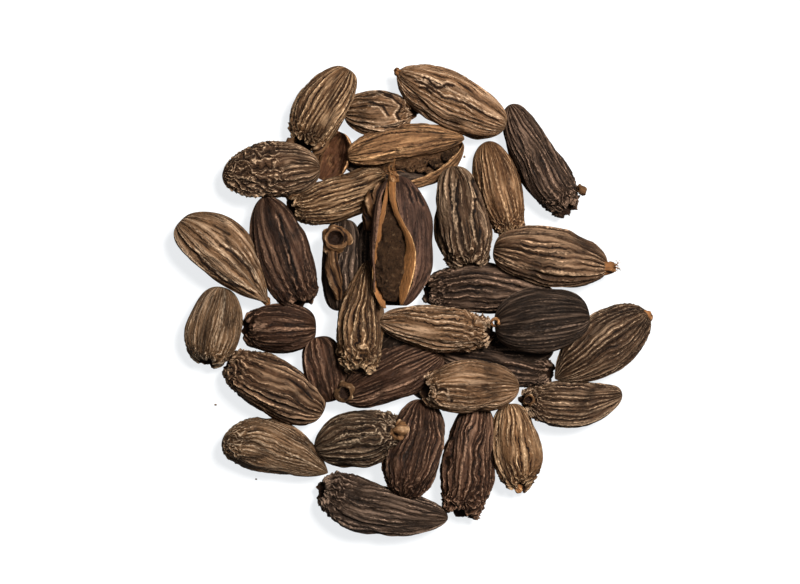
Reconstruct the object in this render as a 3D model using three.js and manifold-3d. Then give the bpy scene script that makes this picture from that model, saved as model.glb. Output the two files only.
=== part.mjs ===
// A loose heap of dried black cardamom pods, as it lies on a table.
// Millimetres, +Z up, the table at z = 0, the origin under the middle of the heap.
// Each pod is a ridged spindle, and all of them are joined over small core lumps into one solid.
import * as THREE from 'three';
import { mergeVertices } from 'three/addons/utils/BufferGeometryUtils.js';
import Module from 'manifold-3d';

// ---- Driving dimensions ----
const POD_SIDES = 12; // points round a pod, alternately ridge and groove
const POD_RINGS = 7; // rings of points along a pod
const POD_DEPTH = 0.86; // a pod's height over its width
const RIDGE = 0.035; // ridge height over the pod's radius
const LOBES = 0.035; // how far the section leans towards three lobes
const UNEVEN = 0.03; // random share of the radius
const ROUND_UP = 1.02; // makes up for the flats between a pod's few corners
const FLOOR_SINK = 0.3; // how much of a lying pod is pressed flat by the table
const HUSK_WALL = 1.1; // thickness of an open husk
const MEMBRANE_WALL = 0.9; // thickness of a papery inner wall
const TABLE_CUT = 60; // height of the block that trims the underside
const HEAP_REACH = 400; // width of that block
const SHORT_EDGE = 0.12; // edges shorter than this are joined up
const SEED = 20417;

// The lying pods. heel and mouth are the ends of the pod's axis seen from above, and width is its
// widest part, reached at the share belly of the way along. round is how blunt each end is, from
// 0.3 for a full dome to 1 for a point. bend moves the middle to the left of the way to the mouth,
// lift is how far the underside is off the table at each end, and torn is the depth of an open mouth.
const PODS = [
  // the ring of pods on the table, from the top left and round by the right
  { heel: [-19.8, 69.3], mouth: [-34.2, 46.2], width: 15.3, belly: 0.58, round: [0.4, 0.36], bend: -0.6, torn: 2.0 },
  { heel: [-21.3, 56.7], mouth: [0.0, 56.1], width: 12.9, belly: 0.4, round: [0.42, 0.5], torn: 1.2 },
  { heel: [27.3, 52.1], mouth: [-5.3, 68.4], width: 16.8, belly: 0.5, round: [0.46, 0.62], bend: 0.6 },
  { heel: [28.2, 58.6], mouth: [46.5, 26.4], width: 14.1, belly: 0.66, round: [0.46, 0.42], bend: -1.2, torn: 1.6 },
  { heel: [21.6, 47.7], mouth: [29.1, 19.2], width: 13.8, belly: 0.52, round: [0.5, 0.4], bend: -0.3, torn: 1.2, lift: [0, 2] },
  { heel: [11.4, 40.2], mouth: [16.2, 9.0], width: 15.9, belly: 0.58, round: [0.45, 0.34], torn: 1.6, lift: [0, 2.5] },
  { heel: [23.4, 15.0], mouth: [57.9, 9.6], width: 17.4, belly: 0.5, round: [0.42, 0.52], lift: [2.5, 0] },
  { heel: [42.0, -23.7], mouth: [69.9, -3.9], width: 18.0, belly: 0.56, round: [0.8, 0.5] },
  { heel: [62.4, -28.5], mouth: [32.4, -30.3], width: 13.8, belly: 0.58, round: [0.5, 0.42], bend: 2.4, torn: 1.6 },
  { heel: [28.5, -31.2], mouth: [31.5, -57.0], width: 14.7, belly: 0.55, round: [0.4, 0.45] },
  { heel: [18.9, -30.9], mouth: [13.5, -65.1], width: 15.9, belly: 0.62, round: [0.4, 0.34], torn: 2.4 },
  { heel: [3.0, -30.0], mouth: [-3.3, -59.4], width: 17.4, belly: 0.6, round: [0.4, 0.42], lift: [0, 2] },
  { heel: [9.9, -65.7], mouth: [-28.8, -57.0], width: 15.6, belly: 0.7, round: [0.55, 0.42], bend: 1.8, torn: 1.8 },
  { heel: [-30.3, -44.7], mouth: [-3.9, -39.6], width: 16.8, belly: 0.5, round: [0.6, 0.34], bend: 0.6, lift: [0, 3] },
  { heel: [-26.1, -51.9], mouth: [-57.9, -42.0], width: 16.5, belly: 0.66, round: [0.8, 0.5], bend: -2.4 },
  { heel: [-27.6, -33.9], mouth: [-56.7, -18.6], width: 16.8, belly: 0.48, round: [0.45, 0.4], bend: 0.3, torn: 1.4 },
  { heel: [-57.9, 3.9], mouth: [-62.3, -19.2], width: 16.5, belly: 0.55, round: [0.45, 0.38], torn: 1.6 },
  { heel: [-70.5, 23.7], mouth: [-44.1, -0.9], width: 17.1, belly: 0.42, round: [0.38, 1.0], bend: 2.5, lift: [0, 1.5] },
  { heel: [-28.5, 39.9], mouth: [-57.9, 36.9], width: 17.1, belly: 0.48, round: [0.5, 0.75], bend: -0.6 },
  // the pods on the table further in
  { heel: [-29.7, -8.4], mouth: [-51.3, -8.4], width: 15.0, belly: 0.5, round: [0.36, 0.36], torn: 1.4 },
  { heel: [-45.3, 31.2], mouth: [-33.3, -1.8], width: 17.4, belly: 0.52, round: [0.55, 0.38], bend: -0.3, torn: 2.4 },
  { heel: [-8.7, 36.9], mouth: [-38.4, 27.6], width: 13.8, belly: 0.45, round: [0.42, 0.3], bend: 2.1, torn: 2.2 },
  { heel: [-21.3, 24.3], mouth: [-23.1, -3.3], width: 12.0, belly: 0.45, round: [0.36, 0.42] },
  { heel: [-29.4, -11.1], mouth: [-25.2, -30.6], width: 13.8, belly: 0.5, round: [0.38, 0.42] },
  { heel: [8.1, -15.3], mouth: [-22.2, -29.7], width: 16.8, belly: 0.45, round: [0.4, 0.6] },
  { heel: [43.5, 0.9], mouth: [2.7, 3.0], width: 14.4, belly: 0.58, round: [0.8, 0.36], bend: -1.8, torn: 1.6 },
  { heel: [7.5, -16.2], mouth: [41.4, -22.2], width: 13.2, belly: 0.5, round: [0.5, 0.36], torn: 1.4 },
  // the upper layer
  { heel: [-14.1, 12.6], mouth: [-17.1, -21.9], width: 14.4, belly: 0.7, round: [0.9, 0.36], bend: -0.6, lift: [1, 7.5], torn: 1.2 },
  { heel: [-10.8, -6.3], mouth: [23.1, -9.9], width: 12.6, belly: 0.6, round: [0.5, 0.36], bend: -0.9, lift: [6.5, 7.5], torn: 1.0 },
  { heel: [52.2, -4.8], mouth: [23.7, -8.1], width: 19.2, belly: 0.5, round: [0.42, 0.4], lift: [3.5, 6] },
  { heel: [31.2, -26.1], mouth: [2.1, -26.4], width: 15.6, belly: 0.5, round: [0.5, 0.4], lift: [4.5, 6.5], torn: 2.4 },
];

// The split pod in the middle, lying on its back with its seeds showing.
const OPEN_POD = {
  heel: [-5.4, 37.2], mouth: [-5.7, -2.1], width: 21.0, belly: 0.5, round: [0.52, 0.4], lift: [4.0, 5.0],
};
const OPEN_SLOT = { middle: [-4.4, 15.6], length: 32, width: 8.6, depth: 6.5 };
const SEED_MASS = { middle: [-5.9, 14.1], length: 29, width: 7.2, top: 19.6 };

// Its two papery inner walls, as the points their middles pass from above, and their widths there.
const LEFT_MEMBRANE = {
  points: [[-7.6, 32.4], [-9.6, 25.2], [-11.1, 16.5], [-12.2, 8.4], [-11.7, 1.8], [-10.8, -2.1]],
  widths: [1.0, 1.2, 1.3, 1.6, 2.8, 2.6],
};
const RIGHT_MEMBRANE = {
  points: [[-6.6, 33.0], [-5.2, 25.8], [-2.6, 18.6], [-1.5, 12.0], [-1.8, 5.4], [-3.3, 0.9]],
  widths: [1.4, 1.6, 2.6, 4.0, 3.4, 1.6],
};

// The pod split into two shells: its axis, and the share of the section each shell covers in degrees,
// where 0 is the side to the left of the way from heel to mouth, 90 the top and -90 the underside.
const SPLIT_AXIS = { heel: [14.6, 47.2], mouth: [-20.2, 43.2] };
const UPPER_SHELL = { ...SPLIT_AXIS, width: 12.4, sweep: [-5, 195], lift: [3.0, 2.0], bend: -1.4 };
const LOWER_SHELL = { heel: [14.2, 43.6], mouth: [-6.0, 35.4], width: 11.6, sweep: [-160, 35], lift: [0, 0], bend: 2.2 };
const SPLIT_SEEDS = { from: [-3.6, 39.8], to: [11.4, 42.4], count: 7, radius: 1.9, height: 6.5 };

// The loose scrap of husk, hollow side up.
const SCRAP = { heel: [-21.8, 50.4], mouth: [-28.2, 36.0], width: 11.4, sweep: [-205, 25], lift: [0.5, 0.5] };

// Stalks and tufts, each a tapered stub from one point to another.
const STALKS = [
  { from: [56.5, 9.9, 7.2], to: [61.6, 9.4, 7.0], radii: [1.7, 2.2] },
  { from: [68.3, -5.4, 7.4], to: [71.6, -5.9, 7.8], radii: [1.3, 1.6] },
  { from: [29.0, 20.4, 8.0], to: [29.8, 18.6, 8.2], radii: [1.5, 1.3] },
  { from: [31.4, -55.8, 6.2], to: [31.6, -58.0, 6.0], radii: [1.3, 1.0] },
  { from: [-45.4, 0.4, 8.0], to: [-44.5, -1.3, 8.2], radii: [1.5, 1.2] },
  { from: [-5.4, 35.4, 13.2], to: [-5.8, 38.8, 13.6], radii: [1.8, 1.3] },
  { from: [22.0, -8.2, 13.6], to: [24.6, -6.6, 14.0], radii: [1.0, 0.7] },
  { from: [-5.2, -39.4, 11.4], to: [-3.2, -39.0, 12.2], radii: [2.6, 2.3] },
  { from: [-19.0, -27.8, 7.6], to: [-22.4, -28.2, 9.0], radii: [2.8, 2.6] },
];
const TUBE_MOUTH = { middle: [-23.7, 18.6, 9.6], ring: 2.1, wall: 0.8 };

// The core: low lumps that fill the hidden hollows between the two layers.
const CORE_LUMPS = [
  { middle: [-4.8, 18.0], size: [15, 34, 9] },
  { middle: [-5.0, -12.0], size: [17, 17, 12] },
  { middle: [5.4, -24.6], size: [15, 12, 11] },
  { middle: [31.5, -14.4], size: [22, 13, 12] },
  { middle: [4.0, 41.0], size: [20, 10, 5] },
  { middle: [-24.5, 42.5], size: [9, 12, 3] },
];

// ---- Helpers ----

// Even random numbers from 0 to 1, the same every time.
function randomFrom(seed) {
  let state = seed >>> 0;
  return () => {
    state = (state + 0x6d2b79f5) >>> 0;
    let mixed = Math.imul(state ^ (state >>> 15), 1 | state);
    mixed = (mixed + Math.imul(mixed ^ (mixed >>> 7), 61 | mixed)) ^ mixed;
    return ((mixed ^ (mixed >>> 14)) >>> 0) / 4294967296;
  };
}
const random = randomFrom(SEED);
const jitter = (share) => 1 + share * (2 * random() - 1);
const mix = (a, b, t) => a + (b - a) * t;

const wasm = await Module();
wasm.setup();

// A closed three.js geometry as a solid that can be joined and cut.
function toSolid(geometry) {
  const bare = geometry.clone();
  bare.deleteAttribute('normal');
  bare.deleteAttribute('uv');
  const merged = mergeVertices(bare, 1e-4);
  return new wasm.Manifold(
    new wasm.Mesh({
      numProp: 3,
      vertProperties: new Float32Array(merged.attributes.position.array),
      triVerts: new Uint32Array(merged.index.array),
    }),
  );
}

// A geometry from a list of Vector3 corners and a list of corner triples.
function fromFaces(corners, faces) {
  const geometry = new THREE.BufferGeometry().setFromPoints(corners);
  geometry.setIndex(faces.flat());
  return geometry;
}

// The frame of a pod: a point on its axis, and the directions forward and to its left.
function axisOf({ heel, mouth, width, bend = 0, lift = [0, 0], depth = POD_DEPTH }) {
  const along = new THREE.Vector2(mouth[0] - heel[0], mouth[1] - heel[1]);
  const forward = along.clone().normalize();
  const left = new THREE.Vector3(-forward.y, forward.x, 0);
  const half = (width / 2) * depth;
  const at = (t) => {
    const sway = bend * (1 - (2 * t - 1) ** 2);
    return new THREE.Vector3(
      heel[0] + along.x * t + left.x * sway,
      heel[1] + along.y * t + left.y * sway,
      half + mix(lift[0], lift[1], t) - FLOOR_SINK,
    );
  };
  return { at, left, forward: new THREE.Vector3(forward.x, forward.y, 0), depth };
}

// A pod's radius at the share t of the way along.
function radiusAt({ width, belly, round }, t) {
  const share = t < belly ? (belly - t) / belly : (t - belly) / (1 - belly);
  const power = t < belly ? round[0] : round[1];
  return (width / 2) * Math.max(0, 1 - share * share) ** power;
}

// A whole pod: rings of alternate ridges and grooves between two end points.
// A torn mouth has a ragged last ring, with the end point sunk behind it.
function podGeometry(pod) {
  const { at, left, forward, depth } = axisOf(pod);
  const turn = random() * Math.PI * 2;
  const ridges = Array.from({ length: POD_SIDES }, (_, i) => (i % 2 ? -RIDGE : RIDGE) + UNEVEN * (2 * random() - 1));
  const corners = [];
  const faces = [];
  for (let ring = 0; ring < POD_RINGS; ring += 1) {
    const t = (1 - Math.cos((Math.PI * (ring + 0.62)) / (POD_RINGS + 0.24))) / 2;
    const torn = ring === POD_RINGS - 1 && pod.torn ? pod.torn : 0;
    const centre = at(t);
    const radius = ROUND_UP * radiusAt(pod, t) * jitter(UNEVEN / 2);
    for (let side = 0; side < POD_SIDES; side += 1) {
      const angle = (2 * Math.PI * side) / POD_SIDES;
      const reach = radius * (1 + ridges[side] + LOBES * Math.cos(3 * angle + turn));
      const corner = centre.clone();
      corner.addScaledVector(left, reach * Math.cos(angle));
      corner.z += reach * depth * Math.sin(angle);
      corner.addScaledVector(forward, torn * (side % 2 ? 0.25 : -0.1));
      corners.push(corner);
    }
  }
  for (let ring = 0; ring < POD_RINGS - 1; ring += 1) {
    for (let side = 0; side < POD_SIDES; side += 1) {
      const next = (side + 1) % POD_SIDES;
      const a = ring * POD_SIDES + side;
      const b = ring * POD_SIDES + next;
      faces.push([a, b, b + POD_SIDES], [a, b + POD_SIDES, a + POD_SIDES]);
    }
  }
  const heelPoint = corners.push(at(0)) - 1;
  const mouthEnd = at(1).addScaledVector(forward, -(pod.torn ?? 0));
  const mouthPoint = corners.push(mouthEnd) - 1;
  const last = (POD_RINGS - 1) * POD_SIDES;
  for (let side = 0; side < POD_SIDES; side += 1) {
    const next = (side + 1) % POD_SIDES;
    faces.push([heelPoint, next, side], [mouthPoint, last + side, last + next]);
  }
  return fromFaces(corners, faces);
}

// A thin wavy solid between two grids of corners of the same size, both split into triangles alike.
function sheetGeometry(outer, inner) {
  const rows = outer.length;
  const columns = outer[0].length;
  const count = rows * columns;
  const corners = [...outer.flat(), ...inner.flat()];
  const faces = [];
  const quad = (a, b, c, d) => faces.push([a, b, c], [a, c, d]);
  for (let row = 0; row < rows - 1; row += 1) {
    for (let column = 0; column < columns - 1; column += 1) {
      const a = row * columns + column;
      const b = a + 1;
      const c = b + columns;
      const d = a + columns;
      faces.push([a, b, c], [a, c, d]);
      faces.push([a + count, c + count, b + count], [a + count, d + count, c + count]);
    }
  }
  for (let row = 0; row < rows - 1; row += 1) {
    const a = row * columns;
    const b = a + columns - 1;
    quad(a + columns, a + columns + count, a + count, a);
    quad(b, b + count, b + columns + count, b + columns);
  }
  for (let column = 0; column < columns - 1; column += 1) {
    const a = column;
    const b = (rows - 1) * columns + column;
    quad(a, a + count, a + 1 + count, a + 1);
    quad(b + 1, b + 1 + count, b + count, b);
  }
  return fromFaces(corners, faces);
}

// A part of a pod's wall: the share of its section between two angles, with a wavy rim.
function huskGeometry(husk, rings = 7, sides = 7) {
  const shape = { belly: 0.5, round: [0.45, 0.5], ...husk };
  const { at, left, depth } = axisOf(shape);
  const [start, end] = shape.sweep.map((degrees) => (degrees * Math.PI) / 180);
  const outer = [];
  const inner = [];
  for (let ring = 0; ring <= rings; ring += 1) {
    const t = 0.03 + (0.94 * (1 - Math.cos((Math.PI * ring) / rings))) / 2;
    const centre = at(t);
    const radius = radiusAt(shape, t) * jitter(UNEVEN);
    const wave = 0.06 * Math.sin(ring * 2.3);
    const outerRow = [];
    const innerRow = [];
    for (let side = 0; side <= sides; side += 1) {
      const angle = mix(start - wave, end + wave, side / sides);
      const ridge = 1 + (side % 2 ? -RIDGE : RIDGE);
      const spot = (reach) => {
        const corner = centre.clone();
        corner.addScaledVector(left, reach * Math.cos(angle));
        corner.z += reach * depth * Math.sin(angle);
        return corner;
      };
      outerRow.push(spot(radius * ridge));
      innerRow.push(spot(Math.max(radius * ridge - HUSK_WALL, radius * 0.4)));
    }
    outer.push(outerRow);
    inner.push(innerRow);
  }
  return sheetGeometry(outer, inner);
}

// A papery wall: a strip along a smooth line, standing a little off the seeds.
function membraneGeometry({ points, widths }, height) {
  const line = new THREE.CatmullRomCurve3(points.map(([x, y]) => new THREE.Vector3(x, y, 0)));
  const steps = 10;
  const top = [];
  const bottom = [];
  for (let step = 0; step <= steps; step += 1) {
    const t = step / steps;
    const middle = line.getPoint(t);
    const tangent = line.getTangent(t);
    const across = new THREE.Vector3(-tangent.y, tangent.x, 0).normalize();
    const place = t * (widths.length - 1);
    const index = Math.min(Math.floor(place), widths.length - 2);
    const half = mix(widths[index], widths[index + 1], place - index) / 2;
    const z = height(t) + 0.25 * Math.sin(step * 1.9);
    const topRow = [];
    const bottomRow = [];
    for (const side of [1, 0, -1]) {
      const corner = middle.clone().addScaledVector(across, side * half);
      corner.z = z - 0.5 * Math.abs(side);
      topRow.push(corner);
      bottomRow.push(corner.clone().setZ(corner.z - MEMBRANE_WALL - 3.0));
    }
    top.push(topRow);
    bottom.push(bottomRow);
  }
  return sheetGeometry(top, bottom);
}

// A lump: a low sphere of few sides, stretched to the size and placed.
function lumpGeometry([x, y, z], [length, width, height], segments = 10, rings = 6) {
  const lump = new THREE.SphereGeometry(0.5, segments, rings);
  lump.rotateX(Math.PI / 2);
  lump.scale(length, width, height);
  lump.translate(x, y, z);
  return lump;
}

// A stalk or tuft: a tapered six-sided stub between two points.
function stubGeometry({ from, to, radii }) {
  const start = new THREE.Vector3(...from);
  const end = new THREE.Vector3(...to);
  const along = end.clone().sub(start);
  const stub = new THREE.CylinderGeometry(radii[1], radii[0], along.length(), 6, 1);
  const turn = new THREE.Quaternion().setFromUnitVectors(new THREE.Vector3(0, 1, 0), along.clone().normalize());
  stub.applyQuaternion(turn);
  stub.translate(...start.add(end).multiplyScalar(0.5).toArray());
  return stub;
}

// Joins the two ends of every edge shorter than a limit, where the surface stays closed and no
// face turns over. Where two ridged surfaces cross, such edges are only specks.
function joinShortEdges(spots, triangles, limit) {
  const spot = (i) => new THREE.Vector3(spots[3 * i], spots[3 * i + 1], spots[3 * i + 2]);
  const corners = [];
  for (let i = 0; i < triangles.length; i += 3) corners.push([...triangles.slice(i, i + 3)]);
  const around = new Map();
  corners.forEach((face, index) => {
    for (const corner of face) {
      if (!around.has(corner)) around.set(corner, new Set());
      around.get(corner).add(index);
    }
  });
  const neighbours = (i) => new Set([...around.get(i)].flatMap((face) => corners[face]));
  const normal = (a, b, c) => spot(b).sub(spot(a)).cross(spot(c).sub(spot(a)));
  const turnsOver = (from, to) =>
    [...around.get(from)].some((index) => {
      const face = corners[index];
      if (face.includes(to)) return false;
      const before = normal(...face);
      const after = normal(...face.map((corner) => (corner === from ? to : corner)));
      return after.length() < 1e-6 || before.normalize().dot(after.normalize()) < 0.2;
    });
  const join = (from, to) => {
    for (const index of around.get(from)) {
      const face = corners[index];
      if (face.includes(to)) {
        for (const corner of face) around.get(corner).delete(index);
        corners[index] = null;
      } else {
        face[face.indexOf(from)] = to;
        around.get(to).add(index);
      }
    }
    around.delete(from);
  };
  const canJoin = (from, to) => {
    const shared = [...neighbours(from)].filter((i) => neighbours(to).has(i) && i !== from && i !== to);
    return shared.length === 2 && !turnsOver(from, to);
  };
  let joined = true;
  while (joined) {
    joined = false;
    for (let index = 0; index < corners.length; index += 1) {
      for (let side = 0; side < 3 && corners[index]; side += 1) {
        const from = corners[index][side];
        const to = corners[index][(side + 1) % 3];
        if (spot(from).distanceTo(spot(to)) > limit) continue;
        const pair = [[from, to], [to, from]].find(([a, b]) => canJoin(a, b));
        if (!pair) continue;
        join(...pair);
        joined = true;
      }
    }
  }
  return new Uint32Array(corners.filter(Boolean).flat());
}

// ---- The pieces of the heap ----

const pieces = PODS.map((pod) => toSolid(podGeometry(pod)));

// The open pod: a whole pod with a slot cut in its top, the seed mass in it and a wall each side.
const slot = new THREE.SphereGeometry(0.5, 12, 8);
slot.rotateX(Math.PI / 2);
slot.scale(OPEN_SLOT.width, OPEN_SLOT.length, OPEN_SLOT.depth * 2);
const openTop = OPEN_POD.width * POD_DEPTH + (OPEN_POD.lift[0] + OPEN_POD.lift[1]) / 2 - FLOOR_SINK;
slot.translate(OPEN_SLOT.middle[0], OPEN_SLOT.middle[1], openTop + 1.5);
pieces.push(toSolid(podGeometry(OPEN_POD)).subtract(toSolid(slot)));

const seedMass = lumpGeometry(
  [...SEED_MASS.middle, SEED_MASS.top - 4],
  [SEED_MASS.width, SEED_MASS.length, 8],
  10,
  9,
);
const seedSpots = seedMass.attributes.position;
const bumps = new Map();
for (let i = 0; i < seedSpots.count; i += 1) {
  const key = [seedSpots.getX(i), seedSpots.getY(i), seedSpots.getZ(i)].map((v) => v.toFixed(3)).join();
  if (!bumps.has(key)) bumps.set(key, jitter(0.09));
  const share = bumps.get(key);
  seedSpots.setX(i, mix(SEED_MASS.middle[0], seedSpots.getX(i), share));
  seedSpots.setZ(i, mix(SEED_MASS.top - 4, seedSpots.getZ(i), share));
}
pieces.push(toSolid(seedMass));
const wallTop = (t) => openTop - 5.0 * (2 * t - 1) ** 4 + 0.2;
pieces.push(toSolid(membraneGeometry(LEFT_MEMBRANE, (t) => wallTop(t) - 1.4)));
pieces.push(toSolid(membraneGeometry(RIGHT_MEMBRANE, wallTop)));

// The split pod: two shells with a row of seeds between them, and the loose scrap of husk.
pieces.push(toSolid(huskGeometry(UPPER_SHELL)));
pieces.push(toSolid(huskGeometry(LOWER_SHELL)));
for (let i = 0; i < SPLIT_SEEDS.count; i += 1) {
  const t = i / (SPLIT_SEEDS.count - 1);
  const size = 2 * SPLIT_SEEDS.radius;
  const x = mix(SPLIT_SEEDS.from[0], SPLIT_SEEDS.to[0], t);
  const y = mix(SPLIT_SEEDS.from[1], SPLIT_SEEDS.to[1], t) + (i % 2 ? 1.2 : -1.0);
  pieces.push(toSolid(lumpGeometry([x, y, SPLIT_SEEDS.height * jitter(0.1)], [size, size * 0.9, size * 0.9], 6, 4)));
}
pieces.push(toSolid(huskGeometry(SCRAP)));

// The stalks, the round tube end and the core.
pieces.push(...STALKS.map((stalk) => toSolid(stubGeometry(stalk))));
const tube = new THREE.TorusGeometry(TUBE_MOUTH.ring, TUBE_MOUTH.wall, 6, 12);
tube.translate(...TUBE_MOUTH.middle);
pieces.push(toSolid(tube));
for (const { middle, size } of CORE_LUMPS) {
  pieces.push(toSolid(lumpGeometry([...middle, size[2] / 2 - 1], size)));
}

// ---- Join, trim and centre ----

let heap = pieces[0];
for (const piece of pieces.slice(1)) heap = heap.add(piece);
const underTable = new THREE.BoxGeometry(HEAP_REACH, HEAP_REACH, TABLE_CUT);
underTable.translate(0, 0, -TABLE_CUT / 2);
heap = heap.subtract(toSolid(underTable));

// Only the one outer body stays: a sealed hollow is filled, and a loose scrap is dropped.
const bodies = heap.decompose().filter((body) => body.volume() > 0);
bodies.sort((a, b) => b.volume() - a.volume());
const whole = bodies[0].getMesh();

const geometry = new THREE.BufferGeometry();
const spots = Float32Array.from(whole.vertProperties);
const triangles = joinShortEdges(spots, Uint32Array.from(whole.triVerts), SHORT_EDGE);
geometry.setAttribute('position', new THREE.BufferAttribute(spots, 3));
geometry.setIndex(new THREE.BufferAttribute(triangles, 1));
geometry.computeBoundingBox();
const box = geometry.boundingBox;
geometry.translate(-(box.min.x + box.max.x) / 2, -(box.min.y + box.max.y) / 2, 0);
geometry.computeVertexNormals();

const husk = new THREE.MeshStandardMaterial({ color: 0x5a4534, roughness: 0.82, metalness: 0 });
const podHeap = new THREE.Mesh(geometry, husk);
podHeap.name = 'pod_heap';

const group = new THREE.Group();
group.add(podHeap);

export default group;
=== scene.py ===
# %% [markdown]
# # A heap of dried black cardamom pods
#
# The object is a loose heap of dried seed pods on a white table. A pod is a leathery capsule about
# three centimetres long that shrank as it dried over a smoky fire. Its skin fell into long sharp
# wrinkles, and it tore open at one end. The crests are painted pale, partly as rubbed wear and
# partly as painted highlight, and the grooves almost black, partly as the husk's own colour and
# partly as painted shade.
# Some pods lie split, with the seeds and the papery inner walls showing.
#
# The heap is one solid in the frame. Here that solid is replaced with the real pods. They could be
# sculpted one by one, but every pod follows the same rules, so each one is worked out as a mesh from
# a row of measured sizes, and seeded noise gives it wrinkles of its own.

# %% Load the frame
import math
from functools import partial

import bpy
import numpy as np
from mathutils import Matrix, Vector


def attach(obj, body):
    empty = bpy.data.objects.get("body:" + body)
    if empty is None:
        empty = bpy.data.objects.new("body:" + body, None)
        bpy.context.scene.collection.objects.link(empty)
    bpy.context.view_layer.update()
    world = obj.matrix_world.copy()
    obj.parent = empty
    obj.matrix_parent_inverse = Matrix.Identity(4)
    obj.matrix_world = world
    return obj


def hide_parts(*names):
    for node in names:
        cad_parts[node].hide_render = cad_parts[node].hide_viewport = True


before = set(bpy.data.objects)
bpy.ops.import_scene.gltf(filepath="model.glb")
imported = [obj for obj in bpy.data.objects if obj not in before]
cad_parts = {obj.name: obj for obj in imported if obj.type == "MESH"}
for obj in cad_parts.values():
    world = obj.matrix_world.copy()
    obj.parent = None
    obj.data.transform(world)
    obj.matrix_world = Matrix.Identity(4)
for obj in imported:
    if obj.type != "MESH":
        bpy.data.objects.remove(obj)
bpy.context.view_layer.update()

# %% [markdown]
# The sizes are real millimetres, seen from above, with x to the right and y up the picture. A row
# starts with x and y of the stalk end (heel) and of the open end (mouth) of a pod's axis. Its sizes
# are the widest part, where along the axis that is (belly) and how blunt the two ends are, then how
# many ridges run round the pod, how high they are, how much they wander and how much of the skin has
# crumpled into a maze. Bend is how far the middle lies to the left of the way to the mouth, lift how
# far each end's underside is off the table, and torn how deep the torn mouth is. The shade is one of
# a few chosen by looking at the pods side by side: how light the skin is and how far it leans to red.

# %% Sizes
MM = 0.001
MIDDLE = (0.25, 0.02)
POD_DEPTH = 0.86
FLOOR_SINK = 0.3
TURN = 6.2832
PHASES = 6.28
FINE = 1.0

SIZES = ("width", "belly", "heel_end", "mouth_end", "ribs", "relief", "wander", "maze")
SHADES = {
    "plain": (1.0, 0.2), "pale": (1.25, 0.2), "straw": (1.15, -0.2), "olive": (1.0, -0.5), "rusty": (1.0, 0.8),
    # The last shade lightens a part that lies in shadow: painted light.
    "foxy": (1.3, 0.8), "deep": (0.7, 0.3), "plum": (0.75, 0.9), "dusty": (1.5, 0.1), "painted_light": (2.2, 0.3),
}


def row(x, y, to_x, to_y, *sizes, shade="plain", bend=0.0, lift=(0, 0), torn=0.0):
    """One pod: where it lies, its sizes by name, and its shade."""
    tone, warm = SHADES[shade]
    place = {"heel": (x, y), "mouth": (to_x, to_y), "bend": bend, "lift": lift, "torn": torn}
    return {**place, **dict(zip(SIZES, sizes)), "tone": tone, "warm": warm}


TAN = {
    "north": row(27.3, 52.1, -5.3, 68.4, 16.8, 0.5, 0.46, 0.62, 20, 0.34, 0.7, 0.15, shade="pale", bend=0.6),
    "west_tip": row(-70.5, 23.7, -44.1, -0.9, 17.1, 0.42, 0.38, 1.0, 15, 0.24, 0.5, 0.05,
        shade="straw", bend=2.5, lift=(0, 1.5)),
    "west_small": row(-57.9, 3.9, -62.3, -19.2, 16.5, 0.55, 0.45, 0.38, 26, 0.2, 0.4, 0.25,
        shade="olive", torn=1.6),
    "centre_cross": row(-10.8, -6.3, 23.1, -9.9, 12.6, 0.6, 0.5, 0.36, 13, 0.46, 1.0, 0.45,
        bend=-0.9, lift=(6.5, 7.5), torn=1.0),
    "south_cross": row(31.2, -26.1, 2.1, -26.4, 15.6, 0.5, 0.5, 0.4, 20, 0.26, 0.7, 0.2,
        lift=(4.5, 6.5), torn=2.4),
    "south_west": row(-26.1, -51.9, -57.9, -42.0, 16.5, 0.66, 0.8, 0.5, 22, 0.24, 0.9, 0.7,
        shade="olive", bend=-2.4),
    "north_small": row(-21.3, 56.7, 0.0, 56.1, 12.9, 0.4, 0.42, 0.5, 16, 0.36, 0.9, 0.25, torn=1.2),
}
GOLDEN = {
    "north_west": row(-19.8, 69.3, -34.2, 46.2, 15.3, 0.58, 0.4, 0.36, 19, 0.38, 0.7, 0.25,
        bend=-0.6, torn=2.0),
    "east_gold": row(21.6, 47.7, 29.1, 19.2, 13.8, 0.52, 0.5, 0.4, 20, 0.26, 0.5, 0.25,
        shade="rusty", bend=-0.3, lift=(0, 2), torn=1.2),
    "south_gold": row(28.5, -31.2, 31.5, -57.0, 14.7, 0.55, 0.4, 0.45, 17, 0.42, 0.8, 0.25,
        shade="pale", torn=0.9),
    "folded": row(-8.7, 36.9, -38.4, 27.6, 13.8, 0.45, 0.42, 0.3, 20, 0.42, 0.6, 0.05, bend=2.1, torn=2.2),
    "frilled": row(-14.1, 12.6, -17.1, -21.9, 14.4, 0.7, 0.9, 0.36, 14, 0.55, 1.2, 0.45,
        bend=-0.6, lift=(1, 7.5), torn=1.2),
}
BROWN = {
    "ribbed": row(11.4, 40.2, 16.2, 9.0, 15.9, 0.58, 0.45, 0.34, 14, 0.55, 0.7, 0.25,
        lift=(0, 2.5), torn=1.6),
    "west_maze": row(-28.5, 39.9, -57.9, 36.9, 17.1, 0.48, 0.5, 0.52, 20, 0.34, 1.0, 0.95,
        shade="pale", bend=-0.6),
    "west_ribbed": row(-27.6, -33.9, -56.7, -18.6, 16.8, 0.48, 0.45, 0.4, 15, 0.56, 1.1, 0.15,
        shade="rusty", bend=0.3, torn=1.4),
    "east_tufted": row(23.4, 15.0, 57.9, 9.6, 17.4, 0.5, 0.42, 0.52, 17, 0.48, 0.9, 0.1,
        shade="rusty", lift=(2.5, 0)),
    "east_low": row(62.4, -28.5, 32.4, -30.3, 13.8, 0.58, 0.5, 0.42, 20, 0.36, 0.8, 0.25, bend=2.4, torn=1.6),
    "south_lumpy": row(-30.3, -44.7, -3.9, -39.6, 16.8, 0.5, 0.6, 0.34, 18, 0.36, 1.0, 0.6,
        shade="olive", bend=0.6, lift=(0, 3), torn=0.8),
    "east_tip": row(42.0, -23.7, 69.9, -3.9, 18.0, 0.56, 0.8, 0.5, 22, 0.34, 0.8, 0.3),
}
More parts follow.
